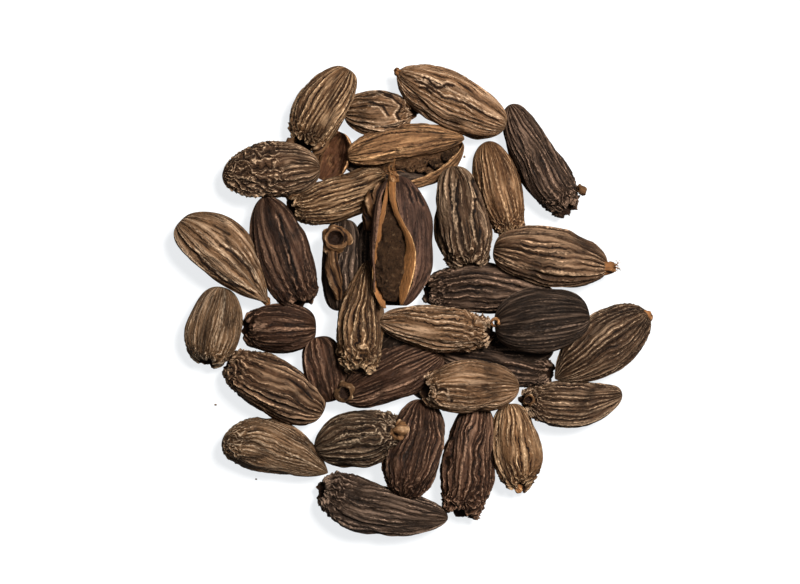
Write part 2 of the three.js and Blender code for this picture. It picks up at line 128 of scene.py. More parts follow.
RUSSET = {
    "smooth_west": row(-45.3, 31.2, -33.3, -1.8, 17.4, 0.52, 0.55, 0.38, 12, 0.24, 0.6, 0.1,
        shade="plum", bend=-0.3, torn=2.4),
    "west_patch": row(-29.7, -8.4, -51.3, -8.4, 15.0, 0.5, 0.36, 0.36, 14, 0.24, 0.6, 0.2,
        shade="rusty", torn=1.4),
    "west_inner": row(-29.4, -11.1, -25.2, -30.6, 13.8, 0.5, 0.38, 0.42, 12, 0.24, 1.0, 0.25, shade="foxy"),
    "fine_lined": row(8.1, -15.3, -22.2, -29.7, 16.8, 0.45, 0.4, 0.6, 26, 0.3, 0.3, 0.0, shade="rusty"),
    "south_torn": row(18.9, -30.9, 13.5, -65.1, 15.9, 0.62, 0.4, 0.34, 17, 0.42, 1.5, 0.4,
        shade="foxy", torn=2.4),
    "south_dark": row(3.0, -30.0, -3.3, -59.4, 17.4, 0.6, 0.4, 0.42, 18, 0.38, 1.3, 0.6,
        shade="rusty", lift=(0, 2)),
}
DARK = {
    "north_east": row(28.2, 58.6, 46.5, 26.4, 14.1, 0.66, 0.46, 0.42, 16, 0.36, 0.8, 0.3,
        shade="foxy", bend=-1.2, torn=1.6),
    "east_under": row(43.5, 0.9, 2.7, 3.0, 14.4, 0.58, 0.8, 0.36, 14, 0.46, 0.8, 0.15,
        shade="foxy", bend=-1.8, torn=1.6),
    "east_smooth": row(52.2, -4.8, 23.7, -8.1, 19.2, 0.5, 0.42, 0.4, 26, 0.2, 0.3, 0.0,
        shade="deep", lift=(3.5, 6)),
    "south_under": row(7.5, -16.2, 41.4, -22.2, 13.2, 0.5, 0.5, 0.36, 14, 0.48, 0.8, 0.1,
        shade="rusty", torn=1.4),
    "south_long": row(9.9, -65.7, -28.8, -57.0, 15.6, 0.7, 0.55, 0.42, 19, 0.34, 0.7, 0.3,
        shade="pale", bend=1.8, torn=1.8),
    "tube_ended": row(-21.3, 24.3, -23.1, -3.3, 12.0, 0.45, 0.36, 0.42, 12, 0.36, 1.0, 0.2),
}
KINDS = {"tan_pods": TAN, "golden_pods": GOLDEN, "brown_pods": BROWN, "russet_pods": RUSSET, "dark_pods": DARK}
print("pods:", {kind: len(rows) for kind, rows in KINDS.items()})

# %% [markdown]
# Everything that is uneven comes from one smooth noise. Blender has noise of its own for single
# points, but a pod has thousands, so this is the classic gradient noise written for whole arrays:
# a seeded table of directions sits at the corners of a grid, and each point blends its eight.

# %% Noise for whole arrays
draw = np.random.default_rng(20417)
ORDER = draw.permutation(512)
DIRECTIONS = draw.normal(size=(512, 3))
DIRECTIONS /= np.linalg.norm(DIRECTIONS, axis=1, keepdims=True)


def noise(points, shift=0.0):
    """Smooth noise from about -1 to 1 at an array of points, whose last axis is x, y, z."""
    points = np.asarray(points, float) + np.array([31.7, 17.3, 5.9]) * shift
    cell = np.floor(points).astype(int)
    inside = points - cell
    ease = inside ** 3 * (inside * (inside * 6 - 15) + 10)
    total = 0.0
    for corner in np.ndindex(2, 2, 2):
        x, y, z = np.moveaxis((cell + corner) & 511, -1, 0)
        direction = DIRECTIONS[ORDER[(ORDER[(ORDER[x] + y) & 511] + z) & 511]]
        weight = np.prod(np.where(corner, ease, 1 - ease), axis=-1)
        total = total + weight * np.sum(direction * (inside - corner), axis=-1)
    return total * 1.6


def smooth(low, high, value):
    """0 below low, 1 above high and an even curve between."""
    share = np.clip((value - low) / (high - low), 0, 1)
    return share * share * (3 - 2 * share)


def mix(first, second, share):
    """The first value where the share is 0 and the second where it is 1."""
    return (1 - share) * first + share * second


def xyz(x, y, z):
    """Points from their x, y and z."""
    return np.stack(np.broadcast_arrays(x, y, z), axis=-1)


print("noise runs from", noise(draw.uniform(0, 90, (4000, 3))).min().round(2), "up")

# %% [markdown]
# Wrinkles are folds of nearly one width that wander, fork and fade, as the lines of a fingerprint
# do. Plain noise has no such width. Many waves of nearly one length laid over each other have: where
# they agree they make one strong wave, and where they don't its lines fork or end. Taking the sum's
# phase, not its height, keeps every fold equally deep. Round a pod each wave has a whole number of
# crests, so the pattern closes. Waves straight through space, in all directions, give a maze.


# %% Waves
def add_up(phases):
    """Phase and strength (about 1) of many waves laid over each other."""
    across, along = sum(np.cos(p) for p in phases), sum(np.sin(p) for p in phases)
    return np.arctan2(along, across), np.hypot(across, along) / math.sqrt(len(phases))


def ripples(draw, angle, length, about, stretch, lean):
    """Waves round a pod with about so many crests in a turn, drawn out along it by stretch."""
    phases = []
    for _ in range(24):
        tilt = draw.uniform(-lean, lean)
        size = about * draw.normal(1.0, 0.12)
        turns = max(1, round(size * math.cos(tilt)))
        phases.append(turns * angle + size * math.sin(tilt) / stretch * length + draw.uniform(0, PHASES))
    return add_up(phases)


def maze_waves(draw, spots, side, width):
    """Waves of nearly one width in all directions through space, in mm, read at the spots."""
    phases = []
    for _ in range(28):
        way = draw.normal(size=3)
        way *= PHASES / width * draw.normal(1.0, 0.14) / np.linalg.norm(way) * (1 if way @ side > 0 else -1)
        phases.append(spots @ way + draw.uniform(0, PHASES))
    return add_up(phases)


def valleys(phase):
    """1 in the sharp valleys of a wave and 0 on its crests."""
    return 1 - np.abs(np.cos(phase / 2))


def peaks(phase, width):
    """1 on the crests of a wave, falling off quickly beside them."""
    return np.exp(-(1 - np.cos(phase)) / width)


def round_noise(angle, length, turns, stretch, shift):
    """Noise that closes round a pod, with about so many lines in a turn."""
    reach = turns / 6.0
    return noise(xyz(np.cos(angle) * reach, np.sin(angle) * reach, length * stretch), shift)


# %% Wrinkles
def wrinkles(pod, angle, spots, side, along, share, seed):
    """Height, dark grooves, pale crests, maze, wandering angle, and the ribs' and creases' waves."""
    draw = np.random.default_rng(int(seed * 1000))
    half, ribs = pod["width"] / 2, pod["ribs"]
    drift = round_noise(angle, along, 6, 0.085, seed + 0.1)
    drift2 = round_noise(angle, along, 15, 0.26, seed + 0.2)
    angle = angle + pod["wander"] * (0.20 * drift + 0.07 * drift2)
    fold, fold_strength = ripples(draw, angle, along, ribs * 0.8, 8.0 * half, 0.5)
    rib, rib_strength = ripples(draw, angle, along, ribs * 1.6, 7.0 * half, 0.5)
    crease, crease_strength = ripples(draw, angle, along, ribs * 3.2, 6.0 * half, 0.7)
    uneven = smooth(-0.5, 0.35, round_noise(angle, along, 8, 0.16, seed + 0.8))
    bare = smooth(-0.60, 0.05, round_noise(angle, along, 9, 0.12, seed + 0.6))
    striped = min(1.0, 0.30 + 0.70 * pod["relief"] / 0.42)
    valley = valleys(fold) * smooth(0.1, 0.6, fold_strength) * (0.5 + 0.5 * uneven)
    gap = valleys(rib) * smooth(0.1, 0.6, rib_strength)
    line = valleys(crease) * smooth(0.2, 0.9, crease_strength)
    sharp = peaks(rib, 0.38)
    # crest: pale paint on the rib crests, partly rubbed wear and partly painted highlight
    crest = sharp * smooth(0.3, 0.9, rib_strength) * bare * (1 - 0.6 * valley) * striped * 0.5
    height = 1 - 0.58 * valley - 0.44 * gap * (1 - 0.5 * valley) - 0.12 * line + 0.10 * sharp
    # dark: darkness painted in the fold valleys, partly the husk's own colour and partly painted shade
    dark = smooth(0.55, 0.95, valley) * (1 - crest) * striped

    bent = spots + 0.8 * xyz(drift2, drift, drift2 - drift)
    curled = angle + 0.30 * round_noise(angle, along, 17, 0.42, seed + 0.4)
    knot, knot_strength = ripples(draw, curled, along + 1.6 * drift2, ribs * 1.7, 1.6 * half, 1.2)
    curl = peaks(knot, 0.40) * smooth(0.1, 0.6, knot_strength)
    tangle = 0.72 * curl + 0.28 * peaks(maze_waves(draw, bent, side, 1.2)[0], 0.5)
    near_mouth = smooth(0.62, 0.97, share)
    maze = pod["maze"] * (0.20 + 1.2 * near_mouth + 0.6 * drift) + (0.55 * near_mouth if pod["torn"] else 0)
    maze = smooth(0.26, 0.56, share + 0.16 * drift) if pod["maze"] > 0.9 else np.clip(maze, 0, 1)

    height = np.clip(mix(height, 0.25 + 0.75 * tangle, maze), 0, 1)
    # In the maze the low lines are darkened, partly as painted shade, and the curls' crests paled, partly as
    # painted highlight.
    dark = mix(dark, 0.5 * smooth(0.30, 0.0, tangle), maze)
    crest = mix(crest, curl * 0.6, maze)
    rib_drawn = smooth(0.2, 0.8, rib_strength) * striped * (0.35 + 0.65 * bare)
    rib_drawn = mix(rib_drawn, smooth(0.1, 0.5, knot_strength), maze)
    rib_wave = xyz(mix(np.cos(rib), np.cos(knot), maze), mix(np.sin(rib), np.sin(knot), maze), rib_drawn)
    crease_drawn = smooth(0.2, 0.9, crease_strength) * (0.4 + 0.6 * uneven)
    return height, dark, crest, maze, angle, rib_wave, xyz(np.cos(crease), np.sin(crease), crease_drawn)


# %% [markdown]
# A pod could be a sphere pulled long, but then its wrinkles would crowd at the ends and run thin in
# the middle. Rings of points along the axis keep them even. More of each ring's points go to the
# upper side, which is the side that shows.


# %% The form of a pod
def axis_of(pod):
    """The pod's axis in mm: a function of the share along it, the ways forward and left, its length."""
    heel, mouth = np.array(pod["heel"], float) + MIDDLE, np.array(pod["mouth"], float) + MIDDLE
    length = np.linalg.norm(mouth - heel)
    forward = (mouth - heel) / length
    left = np.array([-forward[1], forward[0], 0.0])
    half = pod["width"] / 2 * POD_DEPTH

    def at(share):
        share = np.asarray(share, float)
        sway = pod["bend"] * (1 - (2 * share - 1) ** 2)
        flat = heel + (mouth - heel) * share[..., None] + left[:2] * sway[..., None]
        lift = pod["lift"][0] + (pod["lift"][1] - pod["lift"][0]) * share
        return np.concatenate([flat, (half + lift - FLOOR_SINK)[..., None]], axis=-1)

    return at, np.array([*forward, 0.0]), left, length


def radius_at(pod, share):
    """The pod's half width in mm at a share of the way along it."""
    belly = pod["belly"]
    early = share < belly
    away = np.where(early, (belly - share) / belly, (share - belly) / (1 - belly))
    power = np.where(early, pod["heel_end"], pod["mouth_end"])
    return pod["width"] / 2 * np.clip(1 - away * away, 0, 1) ** power


def ring_angles(columns):
    """Angles round a pod from the underside, closer together over the top."""
    fine = np.linspace(0, 1, 721)
    crowd = 1 + 0.55 * np.sin(2 * np.pi * fine - np.pi / 2)
    climb = np.concatenate([[0], np.cumsum((crowd[1:] + crowd[:-1]) / 2)])
    return 2 * np.pi * np.interp(np.arange(columns) / columns, climb / climb[-1], fine) - np.pi / 2


def ring_shares(steps):
    """Shares along a pod for even steps, closer together at both ends."""
    return (1 - np.cos(np.pi * steps)) / 2


def ways_out(left, angle):
    """The way out from the axis at each angle, as long as the pod's section is wide there."""
    return left * np.cos(angle)[..., None] + np.array([0, 0, POD_DEPTH]) * np.sin(angle)[..., None]


# %% [markdown]
# The waves give each pod wrinkles of its own, but a few long creases and pale patches are so large
# that the eye looks for them. They were followed one by one and laid over the skin as routes and spots.

# %% Single creases and patches
CREASES = (
    ((27.0, 53.6), (20.4, 56.4), (14.2, 59.6), (8.4, 61.4), (3.0, 65.2), (-1.6, 66.8)),
    ((12.6, 64.2), (9.4, 65.0), (6.6, 64.0), (4.4, 66.6), (1.8, 67.4)),
    ((5.8, 62.0), (3.6, 64.0), (1.0, 64.4)),
    ((-12.4, 62.2), (-7.6, 60.6), (-4.8, 58.0), (-6.4, 55.6), (-4.8, 52.8)),
    ((-14.6, 58.4), (-10.2, 57.4), (-8.0, 54.4)),
    ((-46.4, 1.8), (-51.6, 4.6), (-56.6, 6.4), (-62.4, 11.4), (-66.6, 17.0)),
    ((-46.2, 4.6), (-49.0, 9.6), (-53.4, 14.4), (-58.8, 17.6)),
    ((-41.8, 26.6), (-38.0, 14.0), (-35.4, 3.6)),
    ((-3.8, 34.6), (-2.6, 31.8), (-1.4, 28.2)),
    ((-1.6, 33.8), (-0.8, 31.4), (0.1, 28.8)),
    ((0.0, 32.2), (1.0, 30.0), (1.6, 27.4)),
    ((16.0, 37.6), (17.4, 31.0), (16.6, 24.0), (18.2, 16.0)),
    ((12.4, 37.0), (11.4, 30.0), (12.8, 22.0)),
    ((4.2, -25.0), (5.6, -28.0), (8.4, -27.0), (10.2, -29.6), (9.4, -24.8)),
)
PATCHES = (  # x, y, half length, half width, how pale
    (-47.2, -7.8, 2.9, 1.7, 0.9), (-42.8, -12.4, 1.6, 0.9, 0.45),
    (0.9, -53.4, 0.9, 0.8, 0.8), (46.4, 27.4, 1.4, 1.0, 0.7),
)


def off_route(points, route):
    """How far points lie left of a route in mm, seen from above, and how far along it from 0 to 1."""
    x, y = points[..., 0] - MIDDLE[0], points[..., 1] - MIDDLE[1]
    wave = 0.35 * noise(xyz(x * 0.5, y * 0.5, 0), 77.0) + 0.15 * noise(xyz(x * 1.6, y * 1.6, 0), 78.0)
    best, away, past = np.full(x.shape, 99.0), np.full(x.shape, 99.0), np.zeros(x.shape)
    for k, (start, stop) in enumerate(zip(route, route[1:])):
        step = np.subtract(stop, start)
        go = np.clip(((x - start[0]) * step[0] + (y - start[1]) * step[1]) / np.hypot(*step) ** 2, 0, 1)
        off_x, off_y = x - start[0] - go * step[0], y - start[1] - go * step[1]
        gap = np.hypot(off_x, off_y)
        side = np.sign(step[0] * off_y - step[1] * off_x)
        closer = gap < best
        best, away = np.where(closer, gap, best), np.where(closer, gap * side + wave, away)
        past = np.where(closer, (k + go) / (len(route) - 1), past)
    return away, past


print("creases:", len(CREASES), "patches:", len(PATCHES))


# %% The skin of a pod
def facts_of(shape, pod, ridge, dark, pale, grain, hollow=0.0, rib=0.0, crease=0.0):
    """What the material reads at each corner, as arrays of one shape."""
    facts = {"ridge": ridge, "dark": dark, "pale": pale, "hollow": hollow}
    facts |= {"tone": pod["tone"], "warm": pod["warm"]}
    facts = {key: np.broadcast_to(np.asarray(value, float), shape).copy() for key, value in facts.items()}
    for key, value in (("grain", grain), ("rib", rib), ("crease", crease)):
        facts[key] = np.broadcast_to(np.asarray(value, float), (*shape, 3)).copy()
    return facts


def skin_of(pod, angle, share, reach, calm, seed):
    """A pod's wrinkled skin: its points, the way out at each, smooth points, and its facts."""
    at, _, left, length = axis_of(pod)
    along, half = share * length, pod["width"] / 2
    dents = round_noise(angle, along, 5, 0.075, seed + 1.2)
    hollows = round_noise(angle, along, 11, 0.065, seed + 1.3)
    pleat = smooth(0.20, 0.0, np.abs(round_noise(angle + 0.1 * hollows, along, 5, 0.04, seed + 1.4)))
    corner = np.cos(3 * (angle + 0.14 * dents + 0.06 * hollows) + PHASES * (seed * 0.37 % 1))
    seam = smooth(0.972, 0.999, corner) * smooth(-0.5, 0.2, hollows)
    shaped = reach * (1 + 0.05 * corner + 0.085 * dents + 0.075 * hollows - 0.07 * pleat + 0.03 * seam)
    radial = ways_out(left, angle)
    plain = at(share) + radial * shaped[..., None]
    height, dark, crest, maze, wandering, *waves = wrinkles(pod, angle, plain, left, along, share, seed)
    relief = pod["relief"] * (0.65 + 0.35 * smooth(-0.6, 0.4, dents)) + 0.16 * maze * smooth(0.6, 0.9, share)
    spots = plain + radial * ((height - 0.66) * relief * 3.1 * calm)[..., None]
    # The pale seam is partly its own colour and partly painted highlight.
    crest = np.maximum(crest, 0.8 * seam)
    for route in CREASES:
        away, past = off_route(plain, route)
        above = (plain[..., 2] > half * 0.8) * smooth(1.0, 0.9, past) * smooth(0.0, 0.08, past)
        # Each crease is a raised fold painted pale on top, partly as painted highlight, and dark in the valley
        # beside it as painted shade.
        fold = 0.55 * np.exp(-(away / 0.35) ** 2) - 0.75 * np.exp(-((away - 0.75) / 0.4) ** 2)
        height = height + above * fold
        crest = np.maximum(crest, above * 0.95 * np.exp(-(away / 0.30) ** 4))
        dark = np.maximum(dark, above * 0.9 * np.exp(-((away - 0.8) / 0.38) ** 4))
    for x, y, long, wide, amount in PATCHES:
        off = np.hypot((plain[..., 0] - MIDDLE[0] - x) / long, (plain[..., 1] - MIDDLE[1] - y) / wide)
        spot = smooth(1.15, 0.75, off + 0.35 * noise(plain * 0.8, seed)) * (plain[..., 2] > half)
        crest, dark = np.maximum(crest, amount * spot), dark * (1 - spot)
    grain = xyz(np.cos(wandering) * half, np.sin(wandering) * half, along * 0.17) + seed * 9.1
    # Pleats are darkened as painted shade.
    dark = np.maximum(dark, 0.5 * pleat) * calm
    facts = facts_of(angle.shape, pod, height, dark, crest, grain, 0.0, *waves)
    return spots, radial, plain, facts


# %% [markdown]
# A torn mouth is blunt: its rim runs out in uneven tongues, further below than above, and the last
# rings turn back into a hollow, coloured a deep brown that is partly the inner wall's own colour and
# partly painted shade. All other rings of a pod are skin.


# %% One pod as arrays
def flat(spots, quads, facts):
    """A part for make_piece: corners in one list, its quads and its facts in one list each."""
    facts = {key: v.reshape(-1, 3) if v.ndim == 3 else v.ravel() for key, v in facts.items()}
    return spots.reshape(-1, 3), quads, facts


def grid_quads(rows, columns):
    """Corner numbers of the quads of a tube: rows of columns that close round."""
    first = np.arange(rows - 1)[:, None] * columns + np.arange(columns)[None, :]
    second = np.arange(rows - 1)[:, None] * columns + (np.arange(columns)[None, :] + 1) % columns
    return np.stack([first, second, second + columns, first + columns], axis=-1).reshape(-1, 4)


def close_ends(part, columns):
    """Caps the first and last ring of a tube of quads with fans of thin quads to a middle corner."""
    corners, quads, facts = part
    ends = [corners[:columns].mean(axis=0), corners[-columns:].mean(axis=0)]
    count = len(corners)
    ring = np.arange(0, columns, 2)
    odd, even = (ring + 1) % columns, (ring + 2) % columns
    first = np.stack([np.full(len(ring), count), even, odd, ring], axis=-1)
    last = count - columns
    second = np.stack([np.full(len(ring), count + 1), last + ring, last + odd, last + even], axis=-1)
    facts = {key: np.concatenate([v, v[:1], v[-1:]]) for key, v in facts.items()}
    return np.concatenate([corners, ends]), np.concatenate([quads, first, second]), facts


def pod_arrays(pod, seed, fine=1.0):
    """A whole pod: its corners in mm, its quads and its facts."""
    _, forward, _, length = axis_of(pod)
    torn = pod["torn"]
    inner_rows = int(16 * FINE * fine) if torn else 0
    outer_rows = int(length / 0.275 * FINE * fine)
    columns = int(pod["width"] * 6.2 * FINE * fine) // 2 * 2
    last = 0.985 if not torn else 0.90 if torn > 1.9 else 0.925
    share = ring_shares(np.linspace(0.012, 1, outer_rows) * last)
    pit = np.linspace(0, 1, inner_rows + 1)[1:]
    reach = radius_at(pod, share)
    if torn:
        share = np.concatenate([share, share[-1] - pit ** 1.3 * (2.0 + 1.6 * torn) / length])
        reach = np.concatenate([reach, reach[-1] * (0.93 - 0.12 * smooth(0, 0.5, pit) - 0.74 * pit ** 2.2)])
    outside = np.concatenate([np.ones(outer_rows), 1 - smooth(0, 0.16, pit)])
    angle, share = np.meshgrid(ring_angles(columns), share)
    reach = np.repeat(reach[:, None], columns, axis=1)
    outside = np.repeat(outside[:, None], columns, axis=1)
    calm = smooth(0.0, 0.42, reach / (pod["width"] / 2)) * outside
    spots, radial, _, facts = skin_of(pod, angle, share, reach, calm, seed)
    if torn:
        near = smooth(0.80, 0.97, share)
        rim = smooth(0.90, 0.965, share)
        tongue = round_noise(angle, 0, 9, 0.0, seed + 0.9)
        teeth = round_noise(angle, 0, 30, 0.0, seed + 1.0)
        run_out = 1.4 * tongue + 0.45 * teeth - 1.1 * np.sin(angle)
        flare = round_noise(angle, share * length, 18, 0.35, seed + 1.1) + 0.35
        spots = spots + forward * (near * run_out)[..., None]
        spots = spots + radial * (near * (0.25 + 0.75 * outside) * 1.1 * flare)[..., None]
        facts["pale"] = np.maximum(facts["pale"], 0.9 * rim * smooth(-0.3, 0.2, teeth))
        facts["dark"] *= 1 - 0.6 * rim
    for key in ("ridge", "pale"):
        facts[key] *= outside
    for key in ("rib", "crease"):
        facts[key][..., 2] *= outside
    facts["hollow"] = 1 - outside
    return close_ends(flat(spots, grid_quads(outer_rows + inner_rows, columns), facts), columns)


# %% [markdown]
# One mesh holds all the pods of a kind. Numbers that the skin's material reads, such as the ridge
# height, travel with the corners as mesh attributes, so that the colour fits the relief exactly.


# %% Meshes from arrays
def outward(corners, quads):
    """The quads, turned round if the volume that they close comes out negative."""
    a, b, c, d = (corners[quads[:, k]] - corners.mean(axis=0) for k in range(4))
    volume = np.sum(a * np.cross(b, c)) + np.sum(a * np.cross(c, d))
    return quads if volume > 0 else quads[:, ::-1]


def make_piece(name, parts, material):
    """One object from (corners in mm, quads, facts) parts, placed in the frame."""
    corners = np.concatenate([part[0] for part in parts]) * MM
    corners[:, 2] = np.maximum(corners[:, 2], 0)
    starts = np.cumsum([0] + [len(part[0]) for part in parts[:-1]])
    quads = np.concatenate([outward(*part[:2]) + start for part, start in zip(parts, starts)])
    mesh = bpy.data.meshes.new(name)
    mesh.from_pydata(corners.tolist(), [], quads.tolist())
    for key in parts[0][2]:
        values = np.concatenate([part[2][key] for part in parts])
        kind, field = ("FLOAT_VECTOR", "vector") if values.ndim == 2 else ("FLOAT", "value")
        mesh.attributes.new(key, kind, "POINT").data.foreach_set(field, values.astype(np.float32).ravel())
    mesh.shade_smooth()
    mesh.materials.append(material)
    piece = bpy.data.objects.new(name, mesh)
    bpy.context.scene.collection.objects.link(piece)
    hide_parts("pod_heap")
    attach(piece, "root")
    print(f"{name}: {2 * len(quads)} triangles")


# %% [markdown]
# ## The skin
#
# Dried husk is a dull, leathery skin. Its crests are a dusty tan, partly rubbed wear and partly
# painted highlight, the skin between them is brown, and the grooves are nearly black, partly the
# husk's own colour and partly painted shade. Fine fibres run along the pod. These effects are
# shared by all the kinds of pod, so they are node groups, and each material places them with its
# own colours.


# %% Tools for node groups
def srgb(red, green, blue):
    """A colour given as it looks on a screen, 0 to 255, as the linear colour a shader needs."""
    shares = [v / 255 for v in (red, green, blue)]
    return tuple(v / 12.92 if v <= 10 / 255 else ((v + 0.055) / 1.055) ** 2.4 for v in shares) + (1.0,)


SOCKETS = {float: "NodeSocketFloat", tuple: "NodeSocketColor", type(None): "NodeSocketVector"}


def new_group(name, inputs, outputs):
    """An empty node group and its two end nodes; each socket is named and of its first value's kind."""
    group = bpy.data.node_groups.new(name, "ShaderNodeTree")
    for label, value in inputs.items():
        socket = group.interface.new_socket(label, in_out="INPUT", socket_type=SOCKETS[type(value)])
        if value is not None:
            socket.default_value = value
    for label, value in outputs.items():
        group.interface.new_socket(label, in_out="OUTPUT", socket_type=SOCKETS[type(value)])
    return group, group.nodes.new("NodeGroupInput").outputs, group.nodes.new("NodeGroupOutput").inputs


def feed(socket, value):
    """Links a socket to another one, or sets it to a value."""
    if isinstance(value, bpy.types.NodeSocket):
        socket.id_data.links.new(value, socket)
    else:
        socket.default_value = value


def add_node(tree, kind, settings=None, **inputs):
    """A node with its settings and its inputs, each by its name or as i and its number."""
    node = tree.nodes.new(kind)
    for key, value in (settings or {}).items():
        setattr(node, key, value)
    for key, value in inputs.items():
        numbered = key[0] == "i" and key[1:].isdigit()
        feed(node.inputs[int(key[1:]) if numbered else key.replace("_", " ")], value)
    return node


def place_group(tree, group, **inputs):
    """The outputs of a node group placed in a tree."""
    return add_node(tree, "ShaderNodeGroup", {"node_tree": group}, **inputs).outputs


def blend(factor, first, second, mode="MIX"):
    """The colour that a Mix node gives, in the tree of its first colour's socket."""
    settings = {"data_type": "RGBA", "blend_type": mode}
    return add_node(first.id_data, "ShaderNodeMix", settings, i0=factor, i6=first, i7=second).outputs[2]


def ramp(value, low, high):
    """A value stretched so that low becomes 0 and high becomes 1, with soft ends."""
    soft = {"interpolation_type": "SMOOTHSTEP"}
    stretched = add_node(value.id_data, "ShaderNodeMapRange", soft, Value=value, From_Min=low, From_Max=high)
    return stretched.outputs["Result"]


def speckle(grain, scale, detail, roughness=0.6):
    """The outputs of a Noise Texture node."""
    values = {"Vector": grain, "Scale": scale, "Detail": detail, "Roughness": roughness}
    return add_node(grain.id_data, "ShaderNodeTexNoise", **values).outputs


def maths(operation, *values):
    """The result of one Math node, in the tree of the sockets it works on."""
    tree = next(value.id_data for value in values if isinstance(value, bpy.types.NodeSocket))
    inputs = {f"i{number}": value for number, value in enumerate(values)}
    return add_node(tree, "ShaderNodeMath", {"operation": operation}, **inputs).outputs[0]


OPERATIONS = ("ADD", "SUBTRACT", "MULTIPLY", "MAXIMUM", "MULTIPLY_ADD")
plus, less, times, larger, scaled = (partial(maths, name) for name in OPERATIONS)


print("colour check:", [round(v, 3) for v in srgb(128, 128, 128)])

# %% [markdown]
# The first group draws what no relief shows: thin dark lines and fibres along the husk, broad patches,
# and an even mottle. Its noise is read in a grain that runs along each pod and is drawn out that way.

# %% Group: fibres along the husk
FIBRE_OUTPUTS = ("Lines", "Fibre", "Patch", "Shake", "Mottle")
tree, given, result = new_group("Husk fibres", {"Grain": None}, dict.fromkeys(FIBRE_OUTPUTS, 0.0))
fibre_group = tree
lines = speckle(given["Grain"], 1.15, 1.0, 0.5)["Fac"]
even = add_node(tree, "ShaderNodeVectorMath", {"operation": "MULTIPLY"}, i0=given["Grain"], i1=(1.0, 1.0, 4.0))
crumple = speckle(even.outputs[0], 1.5, 3.0)["Color"]
channels = add_node(tree, "ShaderNodeSeparateColor", Color=crumple).outputs
feed(result["Lines"], ramp(maths("ABSOLUTE", less(lines, 0.5)), 0.0, 0.055))
feed(result["Fibre"], ramp(speckle(given["Grain"], 2.2, 3.0)["Fac"], 0.32, 0.68))
feed(result["Patch"], ramp(speckle(given["Grain"], 0.30, 2.0)["Fac"], 0.36, 0.64))
feed(result["Shake"], less(channels[0], 0.5))
feed(result["Mottle"], ramp(channels[1], 0.30, 0.70))
print("group:", tree.name)

# %% [markdown]
# The ribs and creases travel on the mesh as waves: a cosine, a sine and a strength. Read in the shader,
# their crests and grooves are far thinner than the mesh could hold. The pale crest lines and dark
# groove lines drawn from them are partly the husk's own colour and partly painted highlight and
# painted shade for relief finer than the mesh. The shake turns each wave back and forth a little, so
# that the thin lines are jagged as on a dry skin.

# %% Group: lines that follow a wave
tree, given, result = new_group("Wave lines", {"Wave": None, "Shake": 0.0}, {"Crest": 0.0, "Groove": 0.0})
line_group = tree
wave = add_node(tree, "ShaderNodeSeparateXYZ", Vector=given["Wave"]).outputs
size = maths("SQRT", plus(times(wave[0], wave[0]), times(wave[1], wave[1])))
turn = times(given["Shake"], 4.2)
turned = less(times(wave[0], maths("COSINE", turn)), times(wave[1], maths("SINE", turn)))
phase = maths("DIVIDE", turned, larger(size, 0.05))
feed(result["Crest"], times(ramp(phase, 0.62, 0.99), wave[2]))
feed(result["Groove"], times(ramp(phase, -0.60, -0.99), wave[2]))
print("group:", tree.name)

# %% [markdown]
# The last group lays three colours over the relief: skin, pale crests and dark grooves. The pale
# crests are partly rubbed wear and partly painted highlight, and the dark grooves partly the husk's
# own colour and partly painted shade. Tone makes a pod lighter or darker and warm makes it redder.
# The same lines and fibres also make a fine height.

# %% Group: husk colour from the relief
FACTS = ("Ridge", "Dark", "Pale", "Hollow", "Tone", "Warm")
WAVES = ("Rib", "Crease")
# A deep brown for the hollows of torn mouths and stubs: partly the inner wall's colour, partly painted shade.
HOLLOW_SHADE_BROWN = srgb(34, 20, 12)
inputs = {
    "Ridge": 0.5, "Dark": 0.0, "Pale": 0.0, "Rib": None, "Crease": None, "Lines": 0.5, "Fibre": 0.5,
    "Patch": 0.5, "Shake": 0.0, "Mottle": 0.5, "Tone": 1.0, "Warm": 0.0, "Hollow": 0.0,
    "Groove": srgb(30, 18, 10), "Skin": srgb(95, 70, 50), "Crest": srgb(170, 140, 115),
    "Inside": HOLLOW_SHADE_BROWN, "Rubbed": 0.6,
}
tree, given, result = new_group("Husk colour", inputs, {"Color": HOLLOW_SHADE_BROWN, "Roughness": 0.0, "Height": 0.0})
colour_group = tree
rib, crease = (place_group(tree, line_group, Wave=given[label], Shake=given["Shake"]) for label in WAVES)
crests = larger(times(rib["Crest"], 0.85), times(crease["Crest"], 0.40))
grooves = larger(times(rib["Groove"], 0.85), times(crease["Groove"], 0.55))
# Groove darkness: partly the husk's own colour, partly painted shade.
deep = ramp(plus(larger(given["Dark"], grooves), scaled(given["Lines"], -0.20, 0.20)), 0.12, 0.85)
# Paleness on high ridges and crest lines: partly rubbed wear, partly painted highlight.
high = times(ramp(given["Ridge"], 0.55, 1.0), times(given["Patch"], 0.40))
pale_lines_and_highlight = ramp(times(larger(given["Pale"], crests), scaled(given["Mottle"], 0.6, 0.4)), 0.10, 0.80)
shown = times(larger(high, pale_lines_and_highlight), given["Rubbed"])
red, blue = scaled(given["Warm"], 0.10, 1.0), scaled(given["Warm"], -0.07, 1.0)


def tinted(label, level):
    """One of the group's colours times a level, and more or less red by how warm the pod is."""
    channels = {"Red": times(level, red), "Green": level, "Blue": times(level, blue)}
    tint = add_node(colour_group, "ShaderNodeCombineColor", **channels)
    return blend(1.0, given[label], tint.outputs[0], "MULTIPLY")


base = blend(shown, tinted("Skin", given["Tone"]), tinted("Crest", scaled(given["Tone"], 0.55, 0.45)))
base = blend(deep, base, tinted("Groove", given["Tone"]))
